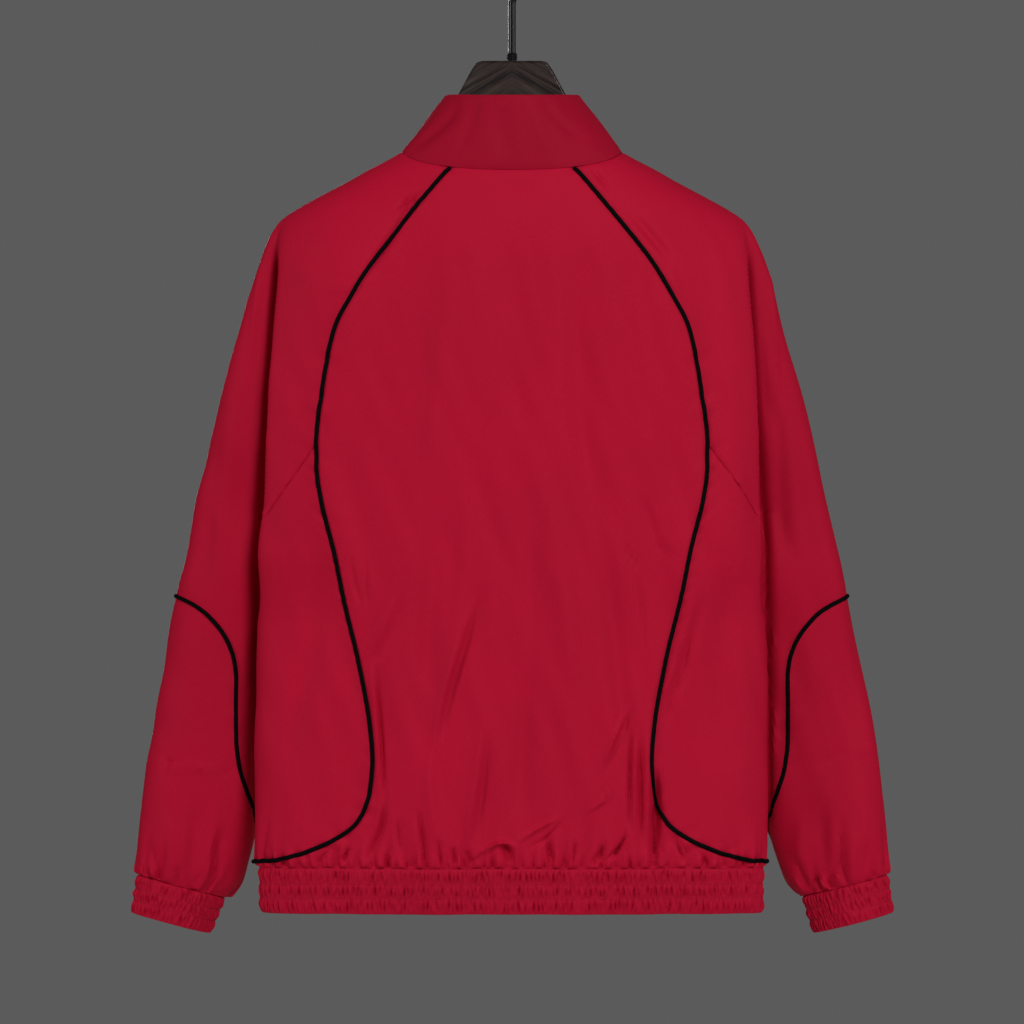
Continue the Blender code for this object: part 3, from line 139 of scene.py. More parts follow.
def curve(rows, column, at):
    """A column of a table at each value of at, by cubics that never overshoot the rows."""
    x = np.array([row[0] for row in rows], float)
    y = np.array([row[column] for row in rows], float)
    at = np.clip(at, x[0], x[-1])
    k = np.clip(np.searchsorted(x, at, side="right") - 1, 0, len(x) - 2)
    span, rise = np.diff(x), np.diff(y) / np.diff(x)
    slope = np.concatenate(([rise[0]], np.zeros(len(x) - 2), [rise[-1]]))
    product = rise[:-1] * rise[1:]
    total = np.where(np.abs(rise[:-1] + rise[1:]) > 1e-12, rise[:-1] + rise[1:], 1)
    slope[1:-1] = np.where(product > 0, 2 * product / total, 0)
    t = (at - x[k]) / span[k]
    first, last = slope[k] * span[k], slope[k + 1] * span[k]
    return ((2 * t**3 - 3 * t**2 + 1) * y[k] + (t**3 - 2 * t**2 + t) * first
            + (3 * t**2 - 2 * t**3) * y[k + 1] + (t**3 - t**2) * last)


def smooth_step(value):
    value = np.clip(value, 0, 1)
    return value * value * (3 - 2 * value)


def power(value, exponent):
    return np.sign(value) * np.abs(value) ** exponent


def oval(angle, half_width, back, front, middle, squareness):
    """x and y on a level oval: angle 0 is its back, 90 its side and 180 its front."""
    turn = np.radians(angle)
    depth = np.where(angle < 90, back - middle, middle - front)
    across, along = power(np.sin(turn), 2 / squareness), power(np.cos(turn), 2 / squareness)
    return half_width * across, middle + depth * along


def folded_ring(t, drop):
    """A quadratic B-spline through the folded section's control points."""
    (fold_y, valley_x, valley_y, back_x, back_y, outer_y, front_x, front_y, inner_x, inner_y,
     dip_x, dip_y, side_x, side_y, fold_r, valley_r, outer_r) = (curve(FOLDS, k, drop) for k in range(1, 18))
    back, front = curve(DEPTHS, 1, drop), curve(DEPTHS, 2, drop)
    edge, outer = curve(SIDE_EDGE, 1, drop), curve(OUTLINE, 1, drop)
    points = np.array([
        (-0.42 * edge, back), (0.42 * edge, back), (0.84 * edge, back - 8),
        (edge, fold_y + fold_r), (edge, fold_y - fold_r),
        (valley_x, valley_y + valley_r), (valley_x, valley_y - valley_r),
        (back_x, back_y), (outer, outer_y + outer_r), (outer, outer_y - outer_r),
        (front_x, front_y), (inner_x, inner_y - fold_r), (inner_x, inner_y + fold_r),
        (dip_x, dip_y - valley_r), (dip_x, dip_y + valley_r),
        (side_x, side_y), (0.42 * edge, front), (-0.42 * edge, front)])
    i = np.minimum(t.astype(int), CENTRE_FRONT - 1)
    u = t - i
    picked = [np.take_along_axis(points, np.broadcast_to(i + k, points.shape[2:])[None, None], 0)[0]
              for k in range(3)]
    return 0.5 * (1 - u) ** 2 * picked[0] + (0.5 + u - u * u) * picked[1] + 0.5 * u * u * picked[2]


def stack(x, y, z):
    return np.stack(np.broadcast_arrays(x, y, z), -1)


def upper(t, drop):
    """The cloth above the underarm point, the body and the sleeve in one section."""
    t, drop = np.broadcast_arrays(np.asarray(t, float), np.asarray(drop, float))
    share = smooth_step((drop - FOLD_STARTS) / (FOLD_FULL - FOLD_STARTS))
    ridge = curve(DEPTHS, 3, np.minimum(drop, NECK_BASE))
    x, y = oval(curve(RING_ANGLES, 1, t), curve(OUTLINE, 1, drop), curve(DEPTHS, 1, drop),
                curve(DEPTHS, 2, drop), ridge, 2.25)
    fx, fy = folded_ring(t, drop)
    return stack(x + (fx - x) * share, y + (fy - y) * share, -drop)


def body(q, drop):
    """The body from centre back (0) round the side to centre front (BODY_END)."""
    q, drop = np.broadcast_arrays(np.asarray(q, float), np.asarray(drop, float))
    start = upper(np.where(q <= VALLEY, q, q + FRONT_VALLEY - VALLEY), np.minimum(drop, UNDERARM))
    half = curve(SIDE_EDGE, 1, drop)
    x, y = oval(curve(BODY_ANGLES, 1, q), half, curve(DEPTHS, 1, drop), curve(DEPTHS, 2, drop),
                curve(DEPTHS, 3, drop), 2.5)
    share = 1 - smooth_step((drop - UNDERARM) / SPLIT_BLEND)
    reach = np.where(drop > UNDERARM, half / curve(SIDE_EDGE, 1, UNDERARM), 1)
    x = x + (start[..., 0] * reach - x) * share
    y = y + (start[..., 1] - y) * share
    return stack(x, y, -drop)


def sleeve_ring(t, inner, outer, middle_y, half_depth, rise, drop):
    half = (outer - inner) / 2
    angle = np.radians(curve(SLEEVE_ANGLES, 1, t))
    across = -half * power(np.cos(angle), 2 / SLEEVE_SQUARENESS)
    y = middle_y + half_depth * power(np.sin(angle), 2 / SLEEVE_SQUARENESS)
    return stack(inner + half + across, y, -drop + rise * across)


def sleeve(t, drop):
    """The sleeve; below the underarm point drop is that of the ring's middle."""
    t, drop = np.broadcast_arrays(np.asarray(t, float), np.asarray(drop, float))
    t = np.where((drop > UNDERARM) & (t < VALLEY), t + FRONT_VALLEY - VALLEY, t)
    t = np.where((drop > UNDERARM) & (t > FRONT_VALLEY), t - FRONT_VALLEY + VALLEY, t)
    start = upper(t, np.minimum(drop, UNDERARM))
    low = np.maximum(drop, UNDERARM)
    inner, middle_y, half_depth, rise = (curve(SLEEVE, k, low) for k in (1, 2, 3, 4))
    outer = curve(OUTLINE, 1, low)
    outer = curve(OUTLINE, 1, low - rise * (outer - inner) / 2)
    ring = sleeve_ring(t, inner, outer, middle_y, half_depth, rise, low)
    share = 1 - smooth_step((low - UNDERARM) / SPLIT_BLEND)
    first = curve(OUTLINE, 1, UNDERARM)
    shift = (outer - first) * np.maximum(0, (start[..., 0] - inner) / (first - inner))
    x = ring[..., 0] + (start[..., 0] + shift - ring[..., 0]) * share
    y = ring[..., 1] + (start[..., 1] - ring[..., 1]) * share
    return np.where((drop <= UNDERARM)[..., None], start, stack(x, y, ring[..., 2]))


def neck_drop(t):
    """The neck seam: highest at the sides, a little lower at the back and well down at the front."""
    cosine = np.cos(np.radians(curve(RING_ANGLES, 1, np.asarray(t, float))))
    return 199.6 + np.where(cosine > 0, 18.4, 64.4) * cosine**2


COLLAR_TOP = (149.5, 146.4, 192.0)  # drop of the collar's top edge at the back, the sides and the front
COLLAR_BULGE = 0.2
COLLAR_TOP_SIZE = (61.5, 47.0, -59.0)  # half width, back and front of its top edge


def collar_at(t, v):
    """The stand collar's outer face: v is 0 at the neck seam and 1 at its top edge."""
    t, v = np.broadcast_arrays(np.asarray(t, float), np.asarray(v, float))
    low = upper(t, neck_drop(t))
    angle = curve(RING_ANGLES, 1, t)
    half, back_y, front_y = COLLAR_TOP_SIZE
    x, y = oval(angle, half, back_y, front_y, -4.0, 1.75)
    back, sides, front = COLLAR_TOP
    drop = sides + (np.where(angle < 90, back, front) - sides) * np.cos(np.radians(angle)) ** 2
    place = low + (stack(x, y, -drop) - low) * v[..., None]
    out = place - stack(np.zeros_like(x), np.full_like(x, -4.0), place[..., 2])
    return place + unit(out) * (COLLAR_BULGE * np.sin(np.pi * v))[..., None]


def cuff_at(f, v):
    """A cuff's ring: f goes once round from its inner edge over the front, v from its seam to its end."""
    f, v = np.broadcast_arrays(np.asarray(f, float), np.asarray(v, float))
    drop, inner, outer, half_depth, rise = (a + (b - a) * v for a, b in zip(CUFF_TOP, CUFF_END))
    half = (outer - inner) / 2
    across = -half * power(np.cos(math.tau * f), 2 / SLEEVE_SQUARENESS)
    y = -57 - half_depth * power(np.sin(math.tau * f), 2 / SLEEVE_SQUARENESS)
    return stack(inner + half + across, y, -drop + rise * across)


def unit(vectors):
    return vectors / np.maximum(np.linalg.norm(vectors, axis=-1, keepdims=True), 1e-9)


def outward(surface, t, drop, low, high, step=1.0):
    """The outward direction of a surface of (place, drop)."""
    across = surface(np.minimum(t + 0.02, high), drop) - surface(np.maximum(t - 0.02, low), drop)
    down = surface(t, drop + step) - surface(t, drop - step)
    return unit(np.cross(across, down))


# ---- folds, gathers and seams: moves along the outward direction, in millimetres ----

# x, drop at the start, middle and end of a crease, its width and its height (a trough is negative).
# They are those of the back, read with x to the left sleeve's side.
BACK_CREASES = (
    # long soft folds
    (-57, 277, -64, 448, -83, 558, 12, -1.6), (-83, 558, -96, 660, -109, 788, 9, -2.0),
    (61, 303, 68, 420, 81, 522, 11, 1.2), (42, 522, 50, 632, 72, 742, 8, 1.3),
    (72, 742, 75, 788, 66, 844, 6, 1.2),
    (75, 522, 75, 632, 85, 696, 9, -1.3), (24, 604, 50, 678, 65, 739, 4.5, -1.9),
    (33, 614, 59, 687, 71, 744, 4, 1.1), (-15, 669, -11, 742, -4, 816, 9, -1.7),
    (-17, 503, -18, 586, -15, 669, 10, -1.1), (29, 733, 35, 788, 46, 839, 5, 1.3),
    (22, 742, 26, 788, 35, 844, 4, -1.3), (-44, 540, -50, 650, -57, 770, 12, 1.2),
    (11, 338, 13, 430, 17, 522, 14, 0.9), (-127, 365, -144, 457, -140, 540, 12, -0.9),
    (121, 365, 147, 457, 145, 540, 13, -0.8),
    # slim creases
    (-109, 708, -94, 739, -83, 768, 1.8, 1.1), (-113, 712, -98, 743, -86, 772, 2.0, -1.0),
    (-109, 733, -108, 779, -107, 825, 2.2, -1.5), (-118, 738, -118, 788, -119, 844, 2.5, -1.4),
    (-113, 738, -112, 784, -112, 830, 2.0, 1.0), (-132, 775, -133, 811, -130, 855, 4.0, -4.2),
    (-123, 738, -124, 788, -123, 834, 3.2, 1.6), (-70, 806, -83, 798, -94, 785, 1.7, 1.0),
    (-6, 834, -24, 823, -40, 814, 2.0, 1.1), (-17, 840, -33, 831, -46, 816, 2.0, -1.1),
    (37, 851, 28, 844, 15, 836, 1.8, 1.0), (147, 579, 144, 600, 138, 614, 2.0, -0.8),
    (134, 577, 133, 604, 134, 615, 1.6, -0.8), (101, 615, 114, 650, 131, 673, 3.0, -1.1),
    (107, 610, 121, 641, 134, 664, 3.0, 0.9), (125, 676, 120, 742, 117, 801, 2.6, -1.7),
    (130, 676, 124, 742, 121, 798, 2.2, 1.0), (-101, 562, -109, 573, -118, 582, 1.6, -0.9),
    (-131, 558, -140, 569, -155, 579, 2.2, -1.0), (-118, 522, -127, 540, -132, 558, 3.0, -0.9),
    (-116, 591, -120, 623, -121, 660, 2.0, -0.9), (11, 233, -6, 235, -22, 233, 3.0, -0.7),
    # pleats over the hem
    (117, 801, 121, 825, 132, 849, 3.0, -2.4), (86, 809, 82, 834, 81, 855, 2.6, -2.2),
    (105, 816, 104, 834, 101, 855, 2.2, -1.6), (11, 840, 4, 845, 0, 856, 4.0, -2.6),
    (22, 844, 11, 836, -2, 840, 2.6, 1.9), (-33, 834, -35, 845, -37, 856, 2.6, -1.9),
    (-85, 838, -79, 849, -73, 857, 3.0, -2.3), (-105, 827, -99, 840, -83, 855, 2.2, -1.9),
    (-58, 836, -57, 845, -55, 856, 2.4, -1.6), (54, 840, 53, 849, 51, 857, 2.4, -1.7),
    (42, 844, 39, 851, 39, 857, 2.2, -1.5), (149, 840, 154, 849, 158, 855, 2.4, -1.6),
    (170, 844, 175, 851, 178, 856, 2.2, -1.3), (-151, 833, -156, 845, -158, 857, 2.8, -2.0),
    (-173, 845, -177, 853, -178, 858, 2.2, -1.4), (68, 833, 66, 845, 65, 857, 2.2, -1.4),
    # on the collar
    (52, 153, 62, 174, 92, 196, 5, -0.9), (36, 152, 38, 176, 52, 204, 6, -0.8),
    (8, 160, 10, 180, 4, 208, 9, -0.7),
    (-30, 152, -44, 174, -70, 190, 5, -0.6), (-12, 150, -24, 178, -34, 210, 7, 0.6),
    (70, 170, 84, 186, 104, 204, 4, 0.7),
    # beside the piping
    (99, 259, 116, 288, 136, 316, 4.0, -1.6), (81, 241, 94, 245, 105, 251, 1.9, -1.5),
    (81, 246, 94, 250, 103, 257, 2.2, 0.9), (-74, 220, -81, 225, -87, 236, 2.2, -1.1),
    (-109, 259, -127, 279, -144, 301, 4.0, -1.2), (-151, 303, -156, 328, -162, 347, 3.2, -0.9),
    (177, 328, 154, 327, 138, 323, 3.0, 0.7), (195, 282, 186, 297, 167, 303, 6.0, -0.6),
    (178, 577, 188, 676, 208, 761, 11, -1.7), (-197, 577, -194, 696, -208, 772, 12, -1.9),
    (-175, 614, -157, 676, -140, 728, 3.2, -1.3), (-167, 604, -151, 664, -136, 706, 3.2, 0.9),
)
SLEEVE_CREASES = (
    # the left sleeve, at its back
    (234, 308, 239, 356, 246, 416, 2.0, 1.1), (231, 333, 234, 402, 239, 485, 4.0, -1.2),
    (257, 402, 266, 503, 276, 586, 10, 1.2), (271, 457, 280, 540, 292, 614, 9, -1.3),
    (337, 753, 324, 763, 310, 768, 2.6, -1.5), (310, 769, 292, 771, 272, 772, 2.2, 1.2),
    (334, 757, 322, 767, 305, 772, 2.4, 1.1), (272, 772, 263, 778, 254, 793, 3.0, -1.4),
    (268, 775, 259, 784, 251, 798, 2.4, 1.0), (294, 807, 296, 844, 301, 885, 6, -1.7),
    (278, 811, 280, 848, 287, 883, 5, 1.4), (319, 816, 318, 848, 317, 878, 6, 1.3),
    (271, 830, 276, 857, 279, 885, 3.4, -1.7), (335, 844, 333, 862, 328, 883, 3.0, -1.5),
    (342, 867, 338, 874, 334, 883, 2.4, -1.5), (310, 862, 309, 874, 306, 887, 2.4, -1.6),
    (289, 867, 296, 883, 300, 890, 2.4, -1.7), (247, 678, 246, 724, 245, 761, 5, -1.2),
    # the right sleeve, at its back
    (-238, 310, -243, 365, -247, 439, 2.0, 1.2), (-228, 328, -233, 402, -238, 485, 4.5, -1.2),
    (-251, 416, -260, 503, -270, 581, 9, 1.2), (-247, 439, -249, 503, -251, 586, 6, -1.1),
    (-316, 756, -297, 762, -270, 766, 2.2, -1.0), (-336, 752, -325, 755, -311, 759, 2.2, 1.0),
    (-288, 807, -290, 839, -293, 880, 6, -1.4), (-306, 816, -305, 848, -309, 876, 4, -1.9),
    (-318, 830, -316, 857, -319, 880, 4, 1.6), (-330, 839, -329, 862, -332, 876, 3.2, -1.6),
    (-260, 853, -270, 871, -276, 892, 3.0, -1.5), (-288, 867, -281, 880, -279, 892, 2.6, -1.7),
    (-302, 857, -295, 876, -288, 889, 2.6, -1.4), (-270, 816, -267, 848, -272, 876, 6, 1.3),
    (-255, 706, -250, 742, -247, 761, 4, -1.2),
)
# How the back's creases are used again on the front: shift of x and of drop, and share of the height.
FRONT_SHIFT = (9.0, -14.0, -0.85)
SLEEVE_FRONT_SHIFT = (6.0, 17.0, 0.8)
HEM_PLEATS, CUFF_PLEATS = 58, 15
STITCH_ROWS = (0.0, 0.345, 0.655, 1.0)  # shares of a gathered band's height that hold no gathers
EDGE_STEPS = (0.0, 0.5, 1.2, 2.2, 3.6, 5.2, 6.0, 6.8, 8.6)  # distances of the columns next to a seam
SEAM_ROLL, SEAM_ROLL_WIDTH = 0.9, 1.5
WHOLE_STEPS_FROM = 45.0  # a row shorter than this has the distances above scaled down
CUFF_RING, CUFF_HEIGHT = 245.0, 36
ZIP_STITCH_AT, ZIP_STITCH_WIDTH = 6.5, 1.2  # the stitched line beside the zip, from the fronts' edges
BACK_COLUMNS, FRONT_COLUMNS, SLEEVE_COLUMNS = 122, 92, 150
HORN_COLUMNS, HEM_COLUMNS, CUFF_COLUMNS = 46, 1150, 380
TAIL_COLUMNS = 36  # columns that fill the strip beside the piped line's tail
SEAM_UNDER = 0.03  # how far the side panel runs on under the sleeve, in places along the section
CREASE_DEPTH, DRAPE_DEPTH = 2.6, 2.4  # how much deeper the folds are made than the tables say
SLEEVE_SHARE = 0.68  # how deep the sleeves' creases are beside the back's
VALLEY_DEPTH = 14.0  # how far the sleeve sinks in beside the edge of the body
GROOVE_SHARE = 0.35  # how much deeper it is right at that edge


def crease_field(places, table, shift=(0.0, 0.0, 1.0), mirror=1):
    """The creases' total height at each place, each a soft line with tapered ends."""
    x, drop = places[..., 0], -places[..., 2]
    total = np.zeros(x.shape)
    for row in table:
        width, height = row[6], row[7] * shift[2]
        points = [(mirror * row[k] + shift[0], row[k + 1] + shift[1]) for k in (0, 2, 4)]
        steps = np.linspace(0, 1, 9)[:, None]
        start, middle, end = (np.array(p) for p in points)
        control = 2 * middle - (start + end) / 2
        line = (1 - steps) ** 2 * start + 2 * steps * (1 - steps) * control + steps**2 * end
        reach = 2.6 * width
        near = ((x > line[:, 0].min() - reach) & (x < line[:, 0].max() + reach)
                & (drop > line[:, 1].min() - reach) & (drop < line[:, 1].max() + reach))
        if not near.any():
            continue
        px, pd = x[near], drop[near]
        best, along = np.full(px.shape, 1e9), np.zeros(px.shape)
        for k in range(8):
            a, b = line[k], line[k + 1]
            d = b - a
            u = np.clip(((px - a[0]) * d[0] + (pd - a[1]) * d[1]) / (d @ d), 0, 1)
            gap = np.hypot(px - a[0] - u * d[0], pd - a[1] - u * d[1])
            along = np.where(gap < best, (k + u) / 8, along)
            best = np.minimum(best, gap)
        taper = np.sin(np.pi * np.clip(along, 0.02, 0.98)) ** 0.6
        total[near] += height * np.exp(-(best / width) ** 2) * taper
    return total


def drape_field(places, seed):
    """Broad, soft unevenness of hanging cloth, longer down the cloth than across it."""
    rng = np.random.default_rng(seed)
    x, y, drop = places[..., 0], places[..., 1], -places[..., 2]
    total = np.zeros(x.shape)
    for length, height in ((150, 0.9), (95, 0.7), (62, 0.5), (38, 0.28), (24, 0.14)):
        for _ in range(2):
            lean, phase, bend = rng.uniform(-0.35, 0.35), rng.uniform(0, 6.3), rng.uniform(0, 6.3)
            across = x + lean * drop + 0.6 * y + 0.2 * length * np.sin(drop / (1.1 * length) + bend)
            swell = 0.7 + 0.3 * np.sin(drop / length + bend)
            total += height * np.sin(math.tau * across / length + phase) * swell
    return 0.55 * total


def pleat_field(along, above, length, count, seed, lengths=(12, 50), strength=1.0):
    """Pleats and puffs that fan out from a gathered seam.

    along runs round the seam, and above is the distance from it.
    """
    rng = np.random.default_rng(seed)
    close = above < 90
    s, d = along[close], np.maximum(above[close], 0)
    total = 1.6 * (1 - np.exp(-d / 4)) * np.exp(-(d / 30) ** 1.4)
    spots = (np.arange(count) + rng.uniform(-0.38, 0.38, count)) / count * length
    for spot in spots:
        lean, reach = rng.uniform(-0.22, 0.22), rng.uniform(*lengths) * rng.uniform(0.6, 1)
        depth, width, spread = rng.uniform(1.6, 4.4), rng.uniform(1.1, 2.2), rng.uniform(0.03, 0.11)
        offset = (s - spot - lean * d - length / 2) % length - length / 2
        total -= depth * np.exp(-(offset / (width + spread * d)) ** 2) * np.exp(-(d / reach) ** 2)
    for size in (5.0, 6.7, 8.9, 12.3, 17.0):
        phase = rng.uniform(0, 6.3)
        turns = max(1, round(length / size))
        wave = np.sin(math.tau * turns * s / length + phase + 0.9 * np.sin(s / (3.1 * size) + phase))
        total += 0.15 * size * wave * np.exp(-d / (0.9 * size))
    made = np.zeros(along.shape)
    made[close] = strength * total * (1 - np.exp(-d / 1.6))
    return made


def pucker_field(run, gap, seed):
    """Small uneven puckers along a piped seam; run is the distance down it, gap the distance from it."""
    rng = np.random.default_rng(seed)
    total = np.zeros(run.shape)
    for size, height in ((31, 0.7), (19, 0.6), (12.5, 0.4), (8.2, 0.2)):
        phase = rng.uniform(0, 6.3)
        wave = np.sin(math.tau * run / size + phase + 1.2 * np.sin(run / 43 + phase) + 0.06 * gap)
        total += height * wave * np.clip(0.4 + np.sin(run / 61 + phase), 0, 1)
    return total * np.exp(-(gap / 9) ** 1.5)


HEM_Q = np.linspace(0, BODY_END, 401)
HEM_RUN = np.concatenate(([0], np.cumsum(np.linalg.norm(np.diff(body(HEM_Q, HEM_SEAM), axis=0), axis=1))))
HEM_LENGTH = 2 * HEM_RUN[-1]


def cloth_move(places, out):
    """Creases and drape of the cloth, from where it is and which way it faces."""
    back = smooth_step((out[..., 1] + 0.12) / 0.35)
    total = (crease_field(places, BACK_CREASES) + SLEEVE_SHARE * crease_field(places, SLEEVE_CREASES)) * back
    front = crease_field(places, BACK_CREASES, FRONT_SHIFT, -1)
    front += SLEEVE_SHARE * crease_field(places, SLEEVE_CREASES, SLEEVE_FRONT_SHIFT, -1)
    total += front * (1 - back)
    total *= CREASE_DEPTH
    return total + DRAPE_DEPTH * drape_field(places, 3) * smooth_step((-places[..., 2] - 225) / 90)


def seam_puckers(places, gap):
    return pucker_field(-places[..., 2] + 0.6 * np.abs(places[..., 0]), gap, 5)


def body_move(places, out, q, side):
    """How far the body's cloth moves outwards, at each place; side is -1 on the wearer's right."""
    run = np.interp(np.clip(q, 0, BODY_END), HEM_Q, HEM_RUN) * side
    pleats = pleat_field(run % HEM_LENGTH, HEM_SEAM + places[..., 2], HEM_LENGTH, HEM_PLEATS, 11)
    return cloth_move(places, out) + pleats


def sleeve_move(places, out, t, side):
    turn = curve(SLEEVE_ANGLES, 1, t) / 360
    above = places[..., 2] - cuff_at(1 - turn, 0.0)[..., 2]
    above = np.where(-places[..., 2] > UNDERARM, above, 999)
    along = turn * CUFF_RING + 61 * (side < 0)
    pleats = pleat_field(along, above, CUFF_RING, CUFF_PLEATS, 23 + side, (10, 42), 0.85)
    beside = np.abs(places[..., 0]) - curve(SIDE_EDGE, 1, -places[..., 2]) + 5
    valley = np.exp(-(beside / np.where(beside < 0, 16, 8.5)) ** 2)
    valley = valley + GROOVE_SHARE * np.exp(-((beside - 6) / 3.2) ** 2)
    valley = valley * smooth_step((t - 4.4) / 0.9)
    valley = valley * smooth_step((OUTER - t) / 0.6) * smooth_step((-places[..., 2] - 258) / 60)
    return cloth_move(places, out) + pleats - VALLEY_DEPTH * valley * smooth_step((850 + places[..., 2]) / 60)


def mirrored(places, side):
    made = np.array(places, float)
    made[..., 0] *= side
    return made


def body_drop(q, h):
    """The drop of row h at place q: rows up to 1 lie between the neck seam and NECK_BASE, the others are level."""
    base = neck_drop(np.where(q <= VALLEY, q, q + FRONT_VALLEY - VALLEY))
    return np.where(h <= 1, base + (NECK_BASE - base) * np.minimum(h, 1), h)


def ring_drop(t, h):
    base = neck_drop(t)
    return np.where(h <= 1, base + (NECK_BASE - base) * np.minimum(h, 1), h)


def crossing(surface, drop_at, h, line, low, high):
    """For each row h, the place between low and high where the surface's x equals line(drop)."""
    low, high = np.full(h.shape, float(low)), np.full(h.shape, float(high))

    def beyond(t):
        place = surface(t, drop_at(t, h))
        return place[..., 0] - line(-place[..., 2]) > 0
    rising = beyond(high)
    for _ in range(26):
        middle = (low + high) / 2
        up = beyond(middle) == rising
        low, high = np.where(up, low, middle), np.where(up, middle, high)
    return (low + high) / 2


def piped_edges(h):
    """The places of the piped line in the body's terms, on the back and on the front, for each row."""
    def line(drop):
        return curve(PIPED_LINE, 1, drop)
    last = np.array([PIPED_TAIL[0][0]])
    back = crossing(body, body_drop, np.minimum(h, last), line, 0, FOLD)
    front = crossing(body, body_drop, np.minimum(h, last), line, VALLEY + 0.4, BODY_END)
    share = np.where(h > last, curve(PIPED_TAIL, 1, h), 0)
    return back + (VALLEY - back) * share, front + (VALLEY - front) * share


TAIL_START = 847.0


def with_tail(q, h, edge):
    """Adds columns that stay on the piped edge until its tail, then fill the strip beside the tail."""
    start = float(edge[np.argmin(np.abs(h - TAIL_START))])
    turn = float(edge[np.argmin(np.abs(h - PIPED_TAIL[0][0]))])
    half = TAIL_COLUMNS // 2 + 1
    fixed = np.concatenate((np.linspace(start, turn, half)[1:], np.linspace(turn, VALLEY, half)[1:]))
    low, high = np.minimum(start, edge)[:, None], np.maximum(start, edge)[:, None]
    tail = np.where(h[:, None] > TAIL_START, np.clip(fixed[None], low, high), edge[:, None])
    return np.concatenate((q, tail), 1)


def line_gap(places, line):
    """The distance from places to a line of x and drop, both seen square on, whatever the side."""
    x, drop = np.abs(places[..., 0]), -places[..., 2]
    best = np.full(x.shape, 1e9)
    for a, b in zip(line, line[1:]):
        d = b - a
        u = np.clip(((x - a[0]) * d[0] + (drop - a[1]) * d[1]) / max(d @ d, 1e-9), 0, 1)
        best = np.minimum(best, np.hypot(x - a[0] - u * d[0], drop - a[1] - u * d[1]))
    return best


def piped_path():
    h = np.concatenate((np.arange(196, TAIL_START, 6.0), np.linspace(TAIL_START, SIDE_POINT, 20)))
    x = np.abs(body(piped_edges(h)[0], h)[..., 0])
    return np.stack((x, h), -1)


def seam_path():
    drop = np.array((SEAM_TOP, SEAM_FOLD))
    return np.stack((curve(PIPED_LINE, 1, SEAM_TOP) + SEAM_SLOPE * (drop - SEAM_TOP), drop), -1)


def zip_edge(h):
    return crossing(body, body_drop, h, lambda drop: ZIP_HALF_GAP, VALLEY + 1.5, BODY_END)


def merged_rows(*sets):
    """All rows of the sets in order, without rows that nearly coincide."""
    rows = [float(row) for row in sets[0] if row <= 1]
    fixed = sorted(float(row) for row in sets[-1])
    others = sorted(float(row) for each in sets[:-1] for row in each if row > 1)
    others = [row for row in others if min(abs(row - kept) for kept in fixed) > 0.25]
    last = -1.0
    for row in sorted(others + fixed):
        if row in fixed or row - last > 0.25:
            rows.append(row)
            last = row
    return np.array(rows)


def underarm_seam(h):
    """The places of the underarm seam on the back and, in the ring's terms, on the front, for each row."""
    def line(drop):
        return float(curve(PIPED_LINE, 1, SEAM_TOP)) + SEAM_SLOPE * (drop - SEAM_TOP)
    level = np.clip(h, SEAM_TOP, SEAM_FOLD)
    back = crossing(upper, ring_drop, level, line, 0, FOLD + 0.3)
    share = np.clip((h - SEAM_FOLD) / (UNDERARM - SEAM_FOLD), 0, 1) ** 1.2
    front = crossing(upper, ring_drop, np.clip(h, SEAM_TOP, UNDERARM), line, FRONT_VALLEY, CENTRE_FRONT)
    return back + (VALLEY - back) * share, np.where(h >= UNDERARM, FRONT_VALLEY, front)


def spread_row(surface, drop_at, h, low, high, count, fine_start=True):
    """Places from low to high for each row, even along the cloth and closer next to a seam.

    With them come their distances from the high end, along the cloth.
    """
    share = np.linspace(0, 1, 121)
    fine = low[:, None] + (high - low)[:, None] * share
    at = surface(fine, drop_at(fine, h[:, None]))
    pieces = np.linalg.norm(np.diff(at, axis=1), axis=2)
    run = np.concatenate((np.zeros((len(h), 1)), np.cumsum(pieces, axis=1)), 1)
    length = run[:, -1]
    scale = np.minimum(1, length / WHOLE_STEPS_FROM)
    start = np.array(EDGE_STEPS if fine_start else (0.0,))
    end = np.array(EDGE_STEPS)
    middle = count - len(start) - len(end)
    steps = np.empty((len(h), count))
    for r in range(len(h)):
        first, last = start * scale[r], length[r] - end[::-1] * scale[r]
        steps[r] = np.concatenate((first, np.linspace(first[-1], last[0], middle + 2)[1:-1], last))
    t = np.array([np.interp(steps[r], run[r], fine[r]) for r in range(len(h))])
    return t, length[:, None] - steps


def rows_of(start, end, pitch, fine_from=None, fine_pitch=1.5, edges=(True, True)):
    """Level rows from start to end, with rows close together near a seam and above a gathered one."""
    stop = end if fine_from is None else fine_from
    rows = list(np.linspace(start, stop, max(2, round((stop - start) / pitch) + 1)))
    if fine_from is not None:
        rows += list(np.linspace(fine_from, end, max(2, round((end - fine_from) / fine_pitch) + 1)))[1:]
    near = (0.6, 1.3, 2.2, 3.4)
    extra = [start + d for d in near if edges[0]] + [end - d for d in near if edges[1]]
    return np.array(sorted(set(np.round(rows + extra, 4))))


